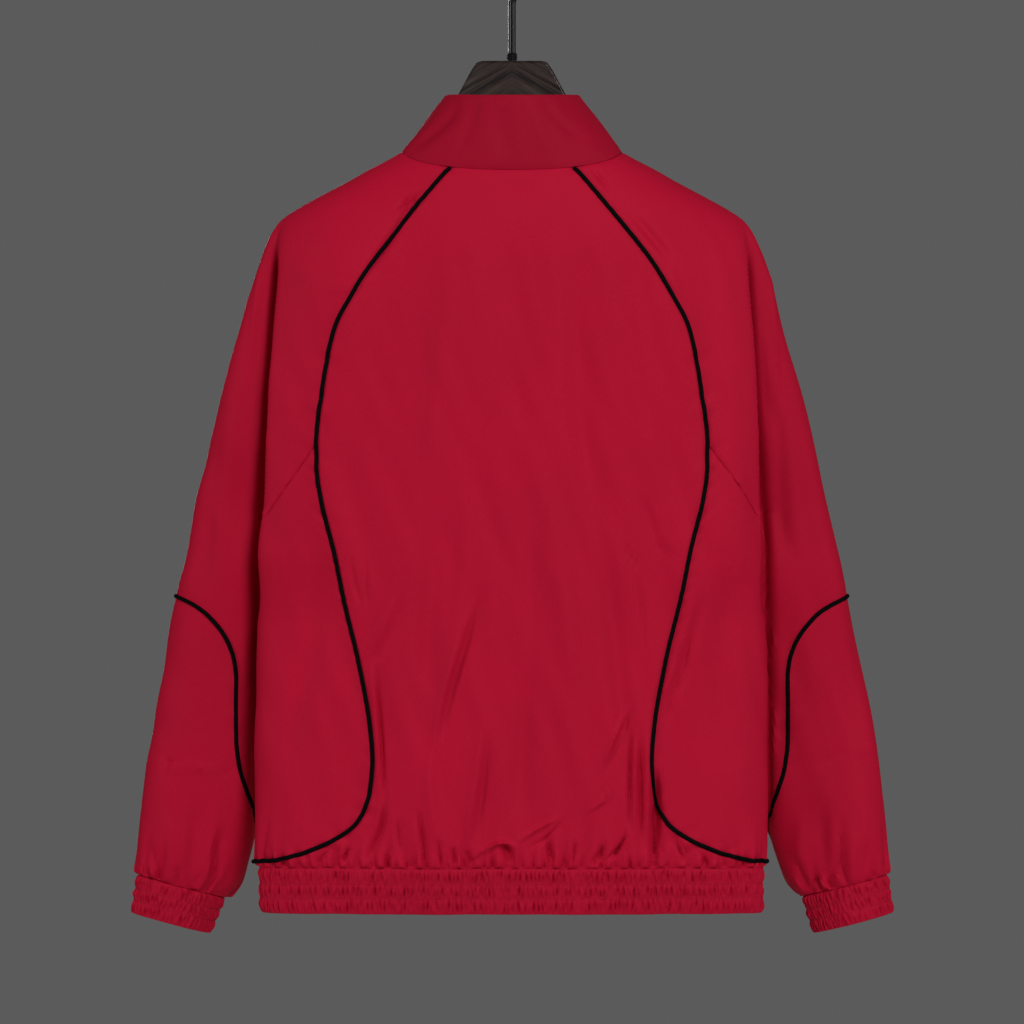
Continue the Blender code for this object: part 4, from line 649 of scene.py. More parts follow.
def grid_mesh(places, uvs):
    """A grid with its corners mapped to the given places; uvs are distances over the cloth, in metres."""
    rows, columns = places.shape[:2]
    cloth = bmesh.new()
    cloth.loops.layers.uv.new("cloth")
    bmesh.ops.create_grid(cloth, x_segments=columns - 1, y_segments=rows - 1, size=0.5)
    data = bpy.data.meshes.new("cloth")
    cloth.to_mesh(data)
    cloth.free()
    flat = np.empty(len(data.vertices) * 3)
    data.vertices.foreach_get("co", flat)
    flat = flat.reshape(-1, 3)
    column = np.rint((flat[:, 0] + 0.5) * (columns - 1)).astype(int)
    row = np.rint((flat[:, 1] + 0.5) * (rows - 1)).astype(int)
    data.vertices.foreach_set("co", (places[row, column] * MM).ravel())
    corner = np.empty(len(data.loops), int)
    data.loops.foreach_get("vertex_index", corner)
    data.uv_layers["cloth"].data.foreach_set("uv", (uvs[row, column] * MM)[corner].ravel())
    return data


def clean(data, outside):
    """Merges what coincides and turns the faces to the outside."""
    cloth = bmesh.new()
    cloth.from_mesh(data)
    bmesh.ops.remove_doubles(cloth, verts=cloth.verts, dist=2e-6)
    bmesh.ops.dissolve_degenerate(cloth, edges=cloth.edges, dist=1e-6)
    bmesh.ops.recalc_face_normals(cloth, faces=cloth.faces)
    cloth.faces.ensure_lookup_table()
    vote = sum(face.normal.dot(Vector(outside(face.calc_center_median() / MM))) * face.calc_area()
               for face in list(cloth.faces)[::61])
    if vote < 0:
        bmesh.ops.reverse_faces(cloth, faces=cloth.faces)
    cloth.to_mesh(data)
    cloth.free()
    return data


def linked(name, data):
    """A new object of the scene."""
    made = bpy.data.objects.new(name, data)
    bpy.context.scene.collection.objects.link(made)
    return made


def mesh_of(name, shape):
    data = bpy.data.meshes.new(name)
    shape.to_mesh(data)
    shape.free()
    return data


def add_piece(name, data, finish, sharp=40):
    data.name = name
    made = linked(name, data)
    data.materials.clear()
    data.materials.append(finish)
    data.shade_smooth()
    data.set_sharp_from_angle(angle=math.radians(sharp))
    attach(made, "garment")
    return made


def solidify(piece, thickness):
    wall = piece.modifiers.new("thickness", "SOLIDIFY")
    wall.thickness, wall.offset, wall.use_rim = thickness, -1, True


def seam_move(gaps, roll=SEAM_ROLL):
    """How far the cloth rolls in at its seams, from the distances to the piece's edges."""
    return -roll * sum(np.exp(-(np.maximum(gap, 0) / SEAM_ROLL_WIDTH) ** 1.3) for gap in gaps)


# ---- the pieces of cloth ----

PIPING_LIFT = 0.35
COLLAR_WALL, HEM_WALL, CUFF_WALL = 2.4, 1.8, 1.6
ZIP_TAPE_HALF, ZIP_DEPTH, TOOTH_PITCH, TAPE_PITCH = 10.5, 1.1, 1.9, 6.0
STITCH_LENGTH, STITCH_RADIUS = 1.9, 0.24
NECK_ROWS = np.concatenate(([0, 0.008, 0.017, 0.029, 0.045], np.linspace(0.065, 1, 19)))
TAIL_ROWS = np.linspace(846.4, 855.4, 25)
END_ROWS = tuple(np.linspace(PIPED_TAIL[0][0], SIDE_POINT, 9))
FOLD_ROWS = (*np.linspace(SEAM_FOLD, UNDERARM, 24), UNDERARM + 1.2, UNDERARM + 2.6)
BODY_ENDS, SLEEVE_ENDS = (0.0, BODY_END), (0.0, CENTRE_FRONT)


def counted(full):
    """A count of columns, as given."""
    return full


def shaped(surface, drop_at, h, t, ends):
    drop = drop_at(t, h[:, None])
    return surface(t, drop), outward(surface, t, drop, *ends)


def body_uv(q, places, side):
    return np.stack((np.interp(q, HEM_Q, HEM_RUN) * side, -places[..., 2]), -1)


def build_panel(name, places, out, uvs, move):
    made = places + out * (move * settings().fold_depth)[..., None]
    data = clean(grid_mesh(made, uvs), outside_of(places, out))
    piece = add_piece(name, data, finish("cloth"))
    solidify(piece, settings().wall)
    return piece


def outside_of(places, out):
    """Looks up the outward direction of the place nearest to a point, on a thinned copy."""
    spots, ways = places[::9, ::9].reshape(-1, 3), out[::9, ::9].reshape(-1, 3)

    def outside(point):
        return ways[np.argmin(((spots - np.array(point)) ** 2).sum(-1))]
    return outside


def build_back():
    h = np.concatenate((NECK_ROWS, rows_of(NECK_BASE, HEM_SEAM, 5.2, 798, 1.7)[1:]))
    h = merged_rows(h, TAIL_ROWS, (*END_ROWS, HEM_SEAM))
    edge = piped_edges(h)[0]
    start = np.where(h > TAIL_START, edge[np.argmin(np.abs(h - TAIL_START))], edge)
    q = spread_row(body, body_drop, h, np.zeros(len(h)), start, counted(BACK_COLUMNS), fine_start=False)[0]
    q = with_tail(q, h, edge)
    half, half_out = shaped(body, body_drop, h, q, BODY_ENDS)
    places = np.concatenate((mirrored(half[:, :0:-1], -1), half), 1)
    out = np.concatenate((mirrored(half_out[:, :0:-1], -1), half_out), 1)
    both = np.concatenate((q[:, :0:-1], q), 1)
    side = np.where(places[..., 0] < 0, -1, 1)
    gaps = line_gap(places, piped_path())
    move = body_move(places, out, both, side) + seam_puckers(places, gaps)
    move += seam_move((gaps, HEM_SEAM + places[..., 2], np.minimum(h, 1)[:, None] * 76))
    piece = build_panel("shell_back", places, out, body_uv(both, places, side), move)
    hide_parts("back_panel")
    return piece


def build_front(side, word):
    h = np.concatenate((NECK_ROWS, rows_of(NECK_BASE, HEM_SEAM, 5.2, 798, 1.7)[1:]))
    h = merged_rows(h, TAIL_ROWS, (*END_ROWS, HEM_SEAM))
    edge = piped_edges(h)[1]
    start = np.where(h > TAIL_START, edge[np.argmin(np.abs(h - TAIL_START))], edge)
    q, to_zip = spread_row(body, body_drop, h, start, zip_edge(h), counted(FRONT_COLUMNS))
    q = with_tail(q[:, ::-1], h, edge)[:, ::-1]
    to_zip = np.concatenate((np.full((len(h), TAIL_COLUMNS), 99.0), to_zip), 1)
    places, out = (mirrored(part, side) for part in shaped(body, body_drop, h, q, BODY_ENDS))
    gap = line_gap(places, piped_path())
    move = body_move(places, out, q, side) * smooth_step(to_zip / 14) + seam_puckers(places, gap)
    move += seam_move((gap, HEM_SEAM + places[..., 2], np.minimum(h, 1)[:, None] * 76))
    stitched = np.exp(-((to_zip - ZIP_STITCH_AT) / ZIP_STITCH_WIDTH) ** 2)
    puckers = 0.35 * drape_field(places * 4.0, 8) * np.exp(-(to_zip / 12) ** 2)
    move += (puckers - 0.35 * stitched) * (to_zip > 0.2)
    piece = build_panel(f"shell_front_{word}", places, out, body_uv(q, places, side), move)
    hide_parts(f"front_{word}")
    return piece


def build_side(side, word):
    h = merged_rows(rows_of(SEAM_TOP, SIDE_POINT, 3.2, 838, 0.9), TAIL_ROWS, (SEAM_TOP, *FOLD_ROWS, *END_ROWS))
    h = h[h <= SIDE_POINT]
    back, front = piped_edges(h)
    seam_back, seam_front = underarm_seam(h)
    seam_back = np.minimum(seam_back + SEAM_UNDER * (h > SEAM_TOP + 1), VALLEY)
    seam_front = np.maximum(seam_front - FRONT_VALLEY + VALLEY - SEAM_UNDER * (h > SEAM_TOP + 1), VALLEY)
    horn = counted(HORN_COLUMNS)
    at = np.minimum(h, TAIL_START)
    last_back, last_front = piped_edges(at)
    q_back = spread_row(body, body_drop, at, np.minimum(last_back, seam_back), seam_back, horn)[0]
    q_front = spread_row(body, body_drop, at, seam_front, np.maximum(last_front, seam_front), horn)[0]
    q_back = np.maximum(q_back, np.minimum(back, VALLEY)[:, None])
    q_front = np.minimum(q_front, front[:, None])
    first, first_out = shaped(body, body_drop, h, q_back, (0.0, float(VALLEY)))
    second, second_out = shaped(body, body_drop, h, q_front, (VALLEY + 1e-6, float(BODY_END)))
    places, out = (mirrored(np.concatenate(pair, 1), side)
                   for pair in ((first, second), (first_out, second_out)))
    q = np.concatenate((q_back, q_front), 1)
    gap, seam = line_gap(places, piped_path()), line_gap(places, seam_path())
    move = body_move(places, out, q, side) + seam_puckers(places, gap)
    move = move + seam_move((gap,)) + seam_move((seam,), 1.5)
    middle = horn - 1
    data = grid_mesh(places + out * (move * settings().fold_depth)[..., None], body_uv(q, places, side))
    drop_bridge(data, middle, places.shape, h < UNDERARM - 0.01)
    clean(data, outside_of(places, out))
    piece = add_piece(f"shell_side_{word}", data, finish("cloth"))
    solidify(piece, settings().wall)
    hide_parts(f"side_panel_{word}")
    return piece


def drop_bridge(data, column, shape, open_rows):
    """Opens the faces between column and the next one in the rows above the underarm point."""
    cloth = bmesh.new()
    cloth.from_mesh(data)
    rows, columns = shape[:2]
    doomed = []
    cloth.faces.ensure_lookup_table()
    for row in range(rows - 1):
        if open_rows[row]:
            doomed.append(cloth.faces[row * (columns - 1) + column])
    bmesh.ops.delete(cloth, geom=doomed, context="FACES")
    cloth.to_mesh(data)
    cloth.free()


def sleeve_seam_gap(places):
    """The distance across the cloth from the sleeve's piped line."""
    x, drop = np.abs(places[..., 0]), -places[..., 2]
    line = sleeve_line(drop)
    slope = (sleeve_line(drop + 0.5) - sleeve_line(drop - 0.5))
    return np.abs(x - line) / np.sqrt(1 + slope**2)


def sleeve_line(drop):
    first, last = SLEEVE_LINE[0], SLEEVE_LINE[-1]
    x = curve(SLEEVE_LINE, 1, drop)
    x = np.where(drop < first[0], first[1] + 2.6 * (first[0] - drop), x)
    return np.where(drop > last[0], last[1] - 0.7 * (drop - last[0]), x)


def build_sleeve(side, word):
    low_rows = rows_of(UNDERARM, CUFF_TOP[0], 4.8, 820, 1.6, (False, True))
    high_rows = rows_of(NECK_BASE, UNDERARM, 5.0, None, 1.5, (False, False))
    h = np.concatenate((NECK_ROWS, high_rows[1:], low_rows[1:]))
    h = merged_rows(h, (SEAM_TOP, SEAM_TOP + 1.5, SEAM_TOP + 3, *FOLD_ROWS, CUFF_TOP[0]))
    back, front = piped_edges(np.minimum(h, 480))
    seam_back, seam_front = underarm_seam(h)
    start = np.where(h <= SEAM_TOP, back, seam_back)
    end = np.where(h <= SEAM_TOP, front + FRONT_VALLEY - VALLEY, seam_front)
    level = np.minimum(h, SEAM_FOLD)
    at_fold = np.argmin(np.abs(h - SEAM_FOLD))
    at_start, at_end = (np.where(h > SEAM_FOLD, edge[at_fold], edge) for edge in (start, end))
    t = spread_row(sleeve, ring_drop, level, at_start, at_end, counted(SLEEVE_COLUMNS))[0]
    t = np.clip(t, start[:, None], end[:, None])
    drop = ring_drop(t, h[:, None])
    places, out = sleeve(t, drop), outward(sleeve, t, drop, *SLEEVE_ENDS)
    places, out = mirrored(places, side), mirrored(out, side)
    path = piped_path()
    upper_part = path[path[:, 1] <= SEAM_TOP + 3]
    seam = np.minimum(line_gap(places, upper_part), line_gap(places, seam_path()))
    elbow = sleeve_seam_gap(places)
    cuff = cuff_at(1 - curve(SLEEVE_ANGLES, 1, np.clip(t, VALLEY, FRONT_VALLEY)) / 360, 0.0)
    above = np.where(-places[..., 2] > 700, places[..., 2] - cuff[..., 2], 99)
    move = sleeve_move(places, out, t, side) + seam_puckers(places, seam) + seam_puckers(places, elbow)
    move += seam_move((seam, elbow, above, np.minimum(h, 1)[:, None] * 76))
    u = curve(SLEEVE_ANGLES, 1, t) / 360 * 300 * side
    piece = build_panel(f"shell_sleeve_{word}", places, out, np.stack((u, -places[..., 2]), -1), move)
    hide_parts(f"sleeve_{word}", f"forearm_{word}")
    return piece


def band_rows(thickness, height, outer_rows, inner_rows=5):
    """Shares down a band and depths below its outer face: down the outside, round the edge, up the inside."""
    r = thickness / 2
    last = 1 - r / height
    rows = [(v, 0.0) for v in np.linspace(0, last, outer_rows)]
    for k in range(1, 7):
        angle = math.pi * k / 6
        rows.append((last + r / height * math.sin(angle), r - r * math.cos(angle)))
    rows += [(v, thickness) for v in np.linspace(last, 0, inner_rows)[1:]]
    rows.append((0.0, 0.0))
    return np.array(rows)


def gathers(run, v, length, seed):
    """Ribs of an elastic band between its rows of stitches, different in each channel."""
    rng = np.random.default_rng(seed)
    total = np.zeros(np.broadcast_shapes(run.shape, v.shape))
    for top, bottom in zip(STITCH_ROWS, STITCH_ROWS[1:]):
        inside = np.sin(math.pi * np.clip((v - top) / (bottom - top), 0, 1)) ** 0.75
        wave, share = 0.3, (v - top) / (bottom - top)
        for size, height in ((3.4, 0.5), (4.4, 0.66), (5.9, 0.6), (8.9, 0.4)):
            phase, warp, lean = rng.uniform(0, 6.3, 3)
            turns = round(length / size)
            bend = 1.3 * np.sin(math.tau * round(length / 37) * run / length + warp)
            bend = bend + 4.0 * (share - 0.5) * np.sin(math.tau * round(length / 19) * run / length + lean)
            wave = wave + height * np.sin(math.tau * turns * run / length + phase + bend)
        total = total + wave * inside
    return 1.1 * total


def band_mesh(place_at, run, rows, thickness, gather, closed):
    """A thick band: place_at gives the outer face and its outward direction at the columns, for shares v."""
    v, depth = rows[:, :1], rows[:, 1:]
    places, out = place_at(v)
    lift = gather(run[None, :], v) * (1 - 0.6 * depth / thickness) + cloth_move(places, out)
    roll = seam_move((v * CUFF_HEIGHT,)) * (1 - depth / thickness)
    made = places + out * ((lift + roll) * settings().fold_depth - depth)[..., None]
    if not closed:
        centre = (made + made[::-1]) / 2
        made = np.concatenate((centre[:, :1], made, centre[:, -1:]), 1)
        run = np.concatenate((run[:1], run, run[-1:]))
    steps = np.linalg.norm(np.diff(made[:, made.shape[1] // 2], axis=0), axis=1)
    down = np.cumsum(np.concatenate(([0], steps)))
    uvs = np.stack(np.broadcast_arrays(run[None, :], down[:, None]), -1)
    return clean(grid_mesh(made, uvs), outside_of(places, out))


def add_band(name, data, finish):
    return add_piece(name, data, finish, sharp=75)


def hem_columns(count):
    """Places round the hem from one side of the zip to the other: run, place along the body and side."""
    last = float(zip_edge(np.array([HEM_SEAM]))[0])
    end = np.interp(last, HEM_Q, HEM_RUN)
    run = np.linspace(-end, end, count)
    return run, np.interp(np.abs(run), HEM_RUN, HEM_Q), np.where(run < 0, -1.0, 1.0)


def hem_at(q, side, v):
    drop = HEM_SEAM + (HEM_END - HEM_SEAM) * v
    drop, q = np.broadcast_arrays(drop, q)
    places, out = body(q, drop), outward(body, q, drop, *BODY_ENDS)
    flip = np.stack(np.broadcast_arrays(side, 1.0, 1.0), -1)
    return places * flip, out * flip


def build_hem():
    run, q, side = hem_columns(counted(HEM_COLUMNS))
    rows = band_rows(HEM_WALL, HEM_END - HEM_SEAM, 30)
    data = band_mesh(lambda v: hem_at(q, side, v), run, rows, HEM_WALL,
                     lambda r, v: gathers(r, v, HEM_LENGTH, 31), False)
    piece = add_band("band_hem", data, finish("band"))
    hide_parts("hem_band")
    return piece


def cuff_place(f, side, v):
    places = cuff_at(f, v)
    ahead, below = cuff_at(f + 0.002, v), cuff_at(f, v + 0.02)
    out = unit(np.cross(below - places, ahead - places))
    return mirrored(places, side), mirrored(out, side)


def build_cuff(side, word):
    f = np.linspace(0, 1, counted(CUFF_COLUMNS))
    run = f * CUFF_RING * side
    rows = band_rows(CUFF_WALL, CUFF_HEIGHT, 26)
    data = band_mesh(lambda v: cuff_place(f[None, :], side, v), run, rows, CUFF_WALL,
                     lambda r, v: gathers(r, v, CUFF_RING, 47 + side) * 0.95, True)
    piece = add_band(f"band_cuff_{word}", data, finish("band"))
    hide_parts(f"cuff_{word}")
    return piece


def collar_columns(count):
    last = float(crossing(upper, ring_drop, np.array([0.0]), lambda drop: ZIP_HALF_GAP, 14, CENTRE_FRONT)[0])
    fine = np.linspace(0, last, 201)
    run = np.concatenate(([0], np.cumsum(np.linalg.norm(np.diff(collar_at(fine, 0.5), axis=0), axis=1))))
    at = np.linspace(-run[-1], run[-1], count)
    return at, np.interp(np.abs(at), run, fine), np.where(at < 0, -1.0, 1.0)


def collar_place(t, side, v):
    t, v = np.broadcast_arrays(t, v)
    across = collar_at(np.minimum(t + 0.05, CENTRE_FRONT), v) - collar_at(np.maximum(t - 0.05, 0), v)
    up = collar_at(t, v + 0.02) - collar_at(t, v - 0.02)
    flip = np.stack(np.broadcast_arrays(side, 1.0, 1.0), -1)
    return collar_at(t, v) * flip, unit(np.cross(up, across)) * flip


def build_collar():
    run, t, side = collar_columns(counted(370))
    rows = band_rows(COLLAR_WALL, 62, 34, 20)

    def soft(r, v):
        wave = 0.5 * np.sin(r / 23 + 2 * v) + 0.35 * np.sin(r / 11.3 + 1.3 + 5 * v)
        wave = wave + 0.2 * np.sin(r / 5.1 + 7 * v)
        return wave * np.sin(np.pi * np.clip(v, 0, 1) ** 0.8) + 0.25 * np.sin(r / 9.7) * v
    data = band_mesh(lambda v: collar_place(t, side, v), run, rows, COLLAR_WALL, soft, False)
    piece = add_band("band_collar", data, finish("collar"))
    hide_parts("collar")
    return piece


# ---- trim: piping, zip and stitches ----

def tube(name, places, radius, finish, closed=False, shares=None, resolution=4):
    """A round rod along a line, as a mesh; shares are its radius at each place, as a part of the whole one."""
    path = bpy.data.curves.new(name, "CURVE")
    path.dimensions, path.bevel_depth, path.bevel_resolution = "3D", radius * MM, resolution
    path.use_fill_caps = not closed
    line = path.splines.new("POLY")
    line.points.add(len(places) - 1)
    spots = np.concatenate((np.array(places) * MM, np.ones((len(places), 1))), 1)
    line.points.foreach_set("co", spots.ravel())
    line.points.foreach_set("radius", np.ones(len(places)) if shares is None else shares)
    line.use_cyclic_u = closed
    line.use_smooth = True
    drawn = bpy.data.objects.new(name + "_path", path)
    data = bpy.data.meshes.new_from_object(drawn)
    bpy.data.objects.remove(drawn)
    bpy.data.curves.remove(path)
    data.name = name
    data.materials.clear()
    data.materials.append(finish)
    made = linked(name, data)
    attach(made, "garment")
    return made


def build_piping(side, word):
    h = np.concatenate((NECK_ROWS[1:], np.linspace(NECK_BASE + 3, 836, 180),
                        np.arange(836.8, 853.9, 0.4), np.linspace(854, SIDE_POINT, 17)))
    back, front = piped_edges(h)
    q = np.concatenate((back, front[::-1]))
    h = np.concatenate((h, h[::-1]))
    drop = body_drop(q, h)
    places, out = body(q, drop), outward(body, q, drop, *BODY_ENDS)
    places, out = mirrored(places, side), mirrored(out, side)
    lift = body_move(places, out, q, side) + seam_puckers(places, np.zeros(len(q))) + PIPING_LIFT
    radius = settings().piping_radius / MM
    piece = tube(f"cord_body_{word}", places + out * lift[:, None], radius, finish("piping"))
    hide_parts(f"piping_body_{word}")
    return piece


def build_sleeve_piping(side, word):
    t = np.linspace(VALLEY, FRONT_VALLEY, 1601)
    low, high = np.full(t.shape, 590.0), np.full(t.shape, 860.0)
    for _ in range(30):
        middle = (low + high) / 2
        place = sleeve(t, middle)
        inside = place[:, 0] < sleeve_line(-place[:, 2])
        low, high = np.where(inside, middle, low), np.where(inside, high, middle)
    line = sleeve(t, low)
    run = np.concatenate(([0], np.cumsum(np.linalg.norm(np.diff(line, axis=0), axis=1))))
    steps = np.linspace(0, run[-1], int(run[-1] / 3) + 1)[:-1]
    t, drop = np.interp(steps, run, t), np.interp(steps, run, low)
    places, out = sleeve(t, drop), outward(sleeve, t, drop, *SLEEVE_ENDS)
    places, out = mirrored(places, side), mirrored(out, side)
    lift = sleeve_move(places, out, t, side) + seam_puckers(places, np.zeros(len(t))) + PIPING_LIFT
    radius = settings().piping_radius / MM
    piece = tube(f"cord_sleeve_{word}", places + out * lift[:, None], radius, finish("piping"), True)
    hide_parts(f"piping_sleeve_{word}")
    return piece


def zip_line(pitch):
    """Places and outward directions down the closed front, one for every pitch."""
    v = np.linspace(0.97, 0, 60)
    top = collar_at(np.full(60, float(CENTRE_FRONT)), v)
    drop = np.linspace(float(neck_drop(np.array(CENTRE_FRONT))) + 1, HEM_END - 1.5, 500)
    low = body(np.full(500, float(BODY_END)), drop)
    line = np.concatenate((top, low))
    run = np.concatenate(([0], np.cumsum(np.linalg.norm(np.diff(line, axis=0), axis=1))))
    steps = np.arange(0, run[-1], pitch)
    places = np.stack([np.interp(steps, run, line[:, k]) for k in range(3)], -1)
    along = unit(np.gradient(places, axis=0))
    return places, np.stack((0 * steps, along[:, 2], -along[:, 1]), -1), along, steps


def build_tape(side, word):
    places, out, _, run = zip_line(TAPE_PITCH)
    wall = np.where(-places[:, 2] > HEM_SEAM, 2.6, np.where(run < 45, 3.2, ZIP_DEPTH + 0.4))
    across = np.array((0.35, 2.0, 4.0, 6.0, 8.5, ZIP_TAPE_HALF))
    made = places[:, None] - out[:, None] * wall[:, None, None] + np.zeros((1, len(across), 3))
    made[..., 0] = across * side
    made[..., 1] += 0.0016 * across**2
    uvs = np.stack(np.broadcast_arrays(across[None], run[:, None]), -1)
    data = clean(grid_mesh(made, uvs), lambda point: (0, -1, 0))
    piece = add_piece(f"tape_{word}", data, finish("tape"))
    solidify(piece, 0.6 * MM)
    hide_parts(f"zip_{word}")
    return piece


def build_teeth():
    places, out, along, _ = zip_line(TOOTH_PITCH)
    cloth = bmesh.new()
    for k in range(len(places)):
        for side in (-1, 1):
            at = places[k] + (0.5 * TOOTH_PITCH * along[k] if side > 0 else 0) - out[k] * 1.15
            across = np.array((1.0, 0, 0))
            turn = Matrix(np.array((across, along[k], out[k])).T.tolist()).to_4x4()
            move = Matrix.Translation(Vector(((at[0] + 1.1 * side) * MM, at[1] * MM, at[2] * MM)))
            size = Matrix.Diagonal((3.0 * MM, 0.95 * MM, 1.5 * MM, 1))
            bmesh.ops.create_cube(cloth, size=1.0, matrix=move @ turn @ size)
    piece = add_piece("zip_teeth", mesh_of("teeth", cloth), finish("coil"))
    round_over = piece.modifiers.new("rounding", "BEVEL")
    round_over.width, round_over.segments = 0.25 * MM, 1
    return piece


def stitch_mesh(name, places, along, out, finish, slot):
    """Small oval stitches lying along the given directions."""
    cloth = bmesh.new()
    for place, way, up in zip(places, along, out):
        side = np.cross(up, way)
        turn = Matrix(np.array((way, side, up)).T.tolist()).to_4x4()
        size = Matrix.Diagonal((STITCH_LENGTH / 2 * MM, STITCH_RADIUS * MM, STITCH_RADIUS * MM, 1))
        move = Matrix.Translation(Vector(place * MM))
        bmesh.ops.create_icosphere(cloth, subdivisions=1, radius=1.0, matrix=move @ turn @ size)
    return add_piece(name, mesh_of(name, cloth), finish)


def stitch_row(places, out, move):
    """Stitches along a row: places, ways and outward directions from the moved outer face."""
    made = places + out * (move + STITCH_RADIUS * 0.7)[..., None]
    along = unit(np.gradient(made, axis=0))
    return made, along, out


def build_stitches():
    found = []
    pitch = settings().stitch_pitch / MM
    count = int(HEM_LENGTH / pitch)
    run, q, side = hem_columns(count)
    for v in STITCH_ROWS[1:3]:
        places, out = hem_at(q, side, np.full(run.shape, v))
        found.append(stitch_row(places, out, cloth_move(places, out)))
    for side in (-1, 1):
        f = np.linspace(0, 1, int(CUFF_RING / pitch), endpoint=False)
        for v in STITCH_ROWS[1:3]:
            places, out = cuff_place(f, side, np.full(f.shape, v))
            found.append(stitch_row(places, out, cloth_move(places, out)))
    parts = [np.concatenate([row[k] for row in found]) for k in range(3)]
    return stitch_mesh("stitches", *parts, finish("thread"), "elastic_cloth")


# ---- the hanger ----

# x, top drop, bottom drop, half thickness
HANGER_NECK = (
    (0.0, 115.5, 180.0, 7.5), (27.0, 115.5, 181.0, 7.5), (32.5, 116.8, 182.0, 7.6), (38.0, 125.0, 183.0, 7.8),
    (50.0, 147.5, 187.0, 8.5), (75.0, 182.5, 203.0, 10.0), (90.0, 195.5, 213.0, 11.5),
)
HANGER_ARMS = (
    (103.0, 221.0, 11.5), (130.0, 238.0, 11.5), (160.0, 255.0, 11.5), (190.0, 271.0, 11.5), (204.0, 278.0, 11.5),
)
HANGER_UNDER, CHAMFER = 2.2, 2.6
HOOK_ROD, HOOK_CENTRE, HOOK_RADIUS = 3.5, -22.0, 25.5
HOOK_STRAIGHT, HOOK_LOW = -64.0, -115.4


def ridge_drop(x):
    return np.interp(x, [row[1] for row in OUTLINE], [row[0] for row in OUTLINE])


def hanger_rows():
    rows = list(HANGER_NECK)
    for x, bottom, half in HANGER_ARMS:
        rows.append((x, float(ridge_drop(x)) + HANGER_UNDER, bottom, half))
    return rows


def build_hanger():
    rows = hanger_rows()
    x = np.concatenate((np.linspace(0, 26, 9), np.linspace(27, 40, 14), np.linspace(42, 198, 60)))
    size = np.ones(len(x))
    for k in range(1, 9):
        angle = math.pi / 2 * k / 8
        x, size = np.append(x, 198 + 6 * math.sin(angle)), np.append(size, max(math.cos(angle), 1e-4) ** 0.6)
    x = np.concatenate((-x[:0:-1], x))
    size = np.concatenate((size[:0:-1], size))
    reach = np.abs(x)
    top, bottom, half = (np.interp(reach, [row[0] for row in rows], [row[k] for row in rows])
                         for k in (1, 2, 3))
    middle = np.where(reach > 90, curve(DEPTHS, 3, ridge_drop(reach)), 0) * smooth_step((reach - 75) / 40)
    tall = (bottom - top) / 2
    chamfer = np.minimum(CHAMFER, 0.4 * half)
    flat_y = np.array((1, 1, 0, 0, 0, 0, -1, -1, -1, -1, 0, 0, 0, 0, 1, 1, 1))
    corner_y = np.array((0, 0, 1, 1, -1, -1, 0, 0, 0, 0, -1, -1, 1, 1, 0, 0, 0))
    y = half[:, None] * (flat_y + corner_y) - chamfer[:, None] * corner_y
    flat_z = np.array((0, 1, 0, 0, 0, 0, 1, 0, 0, -1, 0, 0, 0, 0, -1, 0, 0))
    corner_z = np.array((0, 0, 1, 1, 1, 1, 0, 0, 0, 0, -1, -1, -1, -1, 0, 0, 0))
    z = tall[:, None] * (flat_z + corner_z) - chamfer[:, None] * flat_z
    y, z = middle[:, None] + size[:, None] * y, -(top + bottom)[:, None] / 2 + size[:, None] * z
    made = stack(x[:, None], y, z)
    out = unit(stack(0 * y, y - middle[:, None], z + (top + bottom)[:, None] / 2))
    data = clean(grid_mesh(made, made[..., :2]), outside_of(made, out))
    piece = add_piece("hanger_wood", data, finish("wood"), sharp=28)
    rounding = piece.modifiers.new("rounding", "BEVEL")
    rounding.width, rounding.segments, rounding.angle_limit = 0.7 * MM, 3, math.radians(30)
    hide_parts("hanger")
    return piece


def build_hook():
    angles = np.radians(np.linspace(200, -28, 90))
    arc = np.stack((HOOK_RADIUS * np.cos(angles), 0 * angles, HOOK_CENTRE + HOOK_RADIUS * np.sin(angles)), -1)
    way = np.array((math.sin(angles[0]), 0, -math.cos(angles[0])))
    a, d = np.array((0, 0, HOOK_STRAIGHT)), arc[0]
    b, c = a + (0, 0, 16.0), d - way * 14.0
    s = np.linspace(0, 1, 40)[:, None]
    bend = (1 - s) ** 3 * a + 3 * (1 - s) ** 2 * s * b + 3 * (1 - s) * s**2 * c + s**3 * d
    shank = np.stack((np.zeros(12), np.zeros(12), np.linspace(HOOK_LOW, HOOK_STRAIGHT, 12)), -1)
    last_way = np.array((math.sin(angles[-1]), 0, -math.cos(angles[-1])))
    turns = np.linspace(0, math.pi / 2, 9)[1:]
    tip = arc[-1] + last_way * (HOOK_ROD * np.sin(turns))[:, None]
    path = np.concatenate((shank, bend[1:], arc[1:], tip))
    shares = np.ones(len(path))
    shares[-8:] = np.maximum(np.cos(turns), 0.02)
    piece = tube("hook", path, HOOK_ROD, finish("metal"), False, shares, 8)
    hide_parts("hanger_hook")
    return piece


# ---- finishes ----

class Value:
    """A shader socket that can be used in sums and products."""

    def __init__(self, graph, socket):
        self.graph, self.socket = graph, socket

    def maths(self, operation, *others):
        return self.graph.node("ShaderNodeMath", {"operation": operation}, (self, *others))

    def __add__(self, other):
        return self.maths("ADD", other)

    def __mul__(self, other):
        return self.maths("MULTIPLY", other)

    def __sub__(self, other):
        return self.maths("SUBTRACT", other)

    def __rsub__(self, other):
        return (self * -1.0) + other


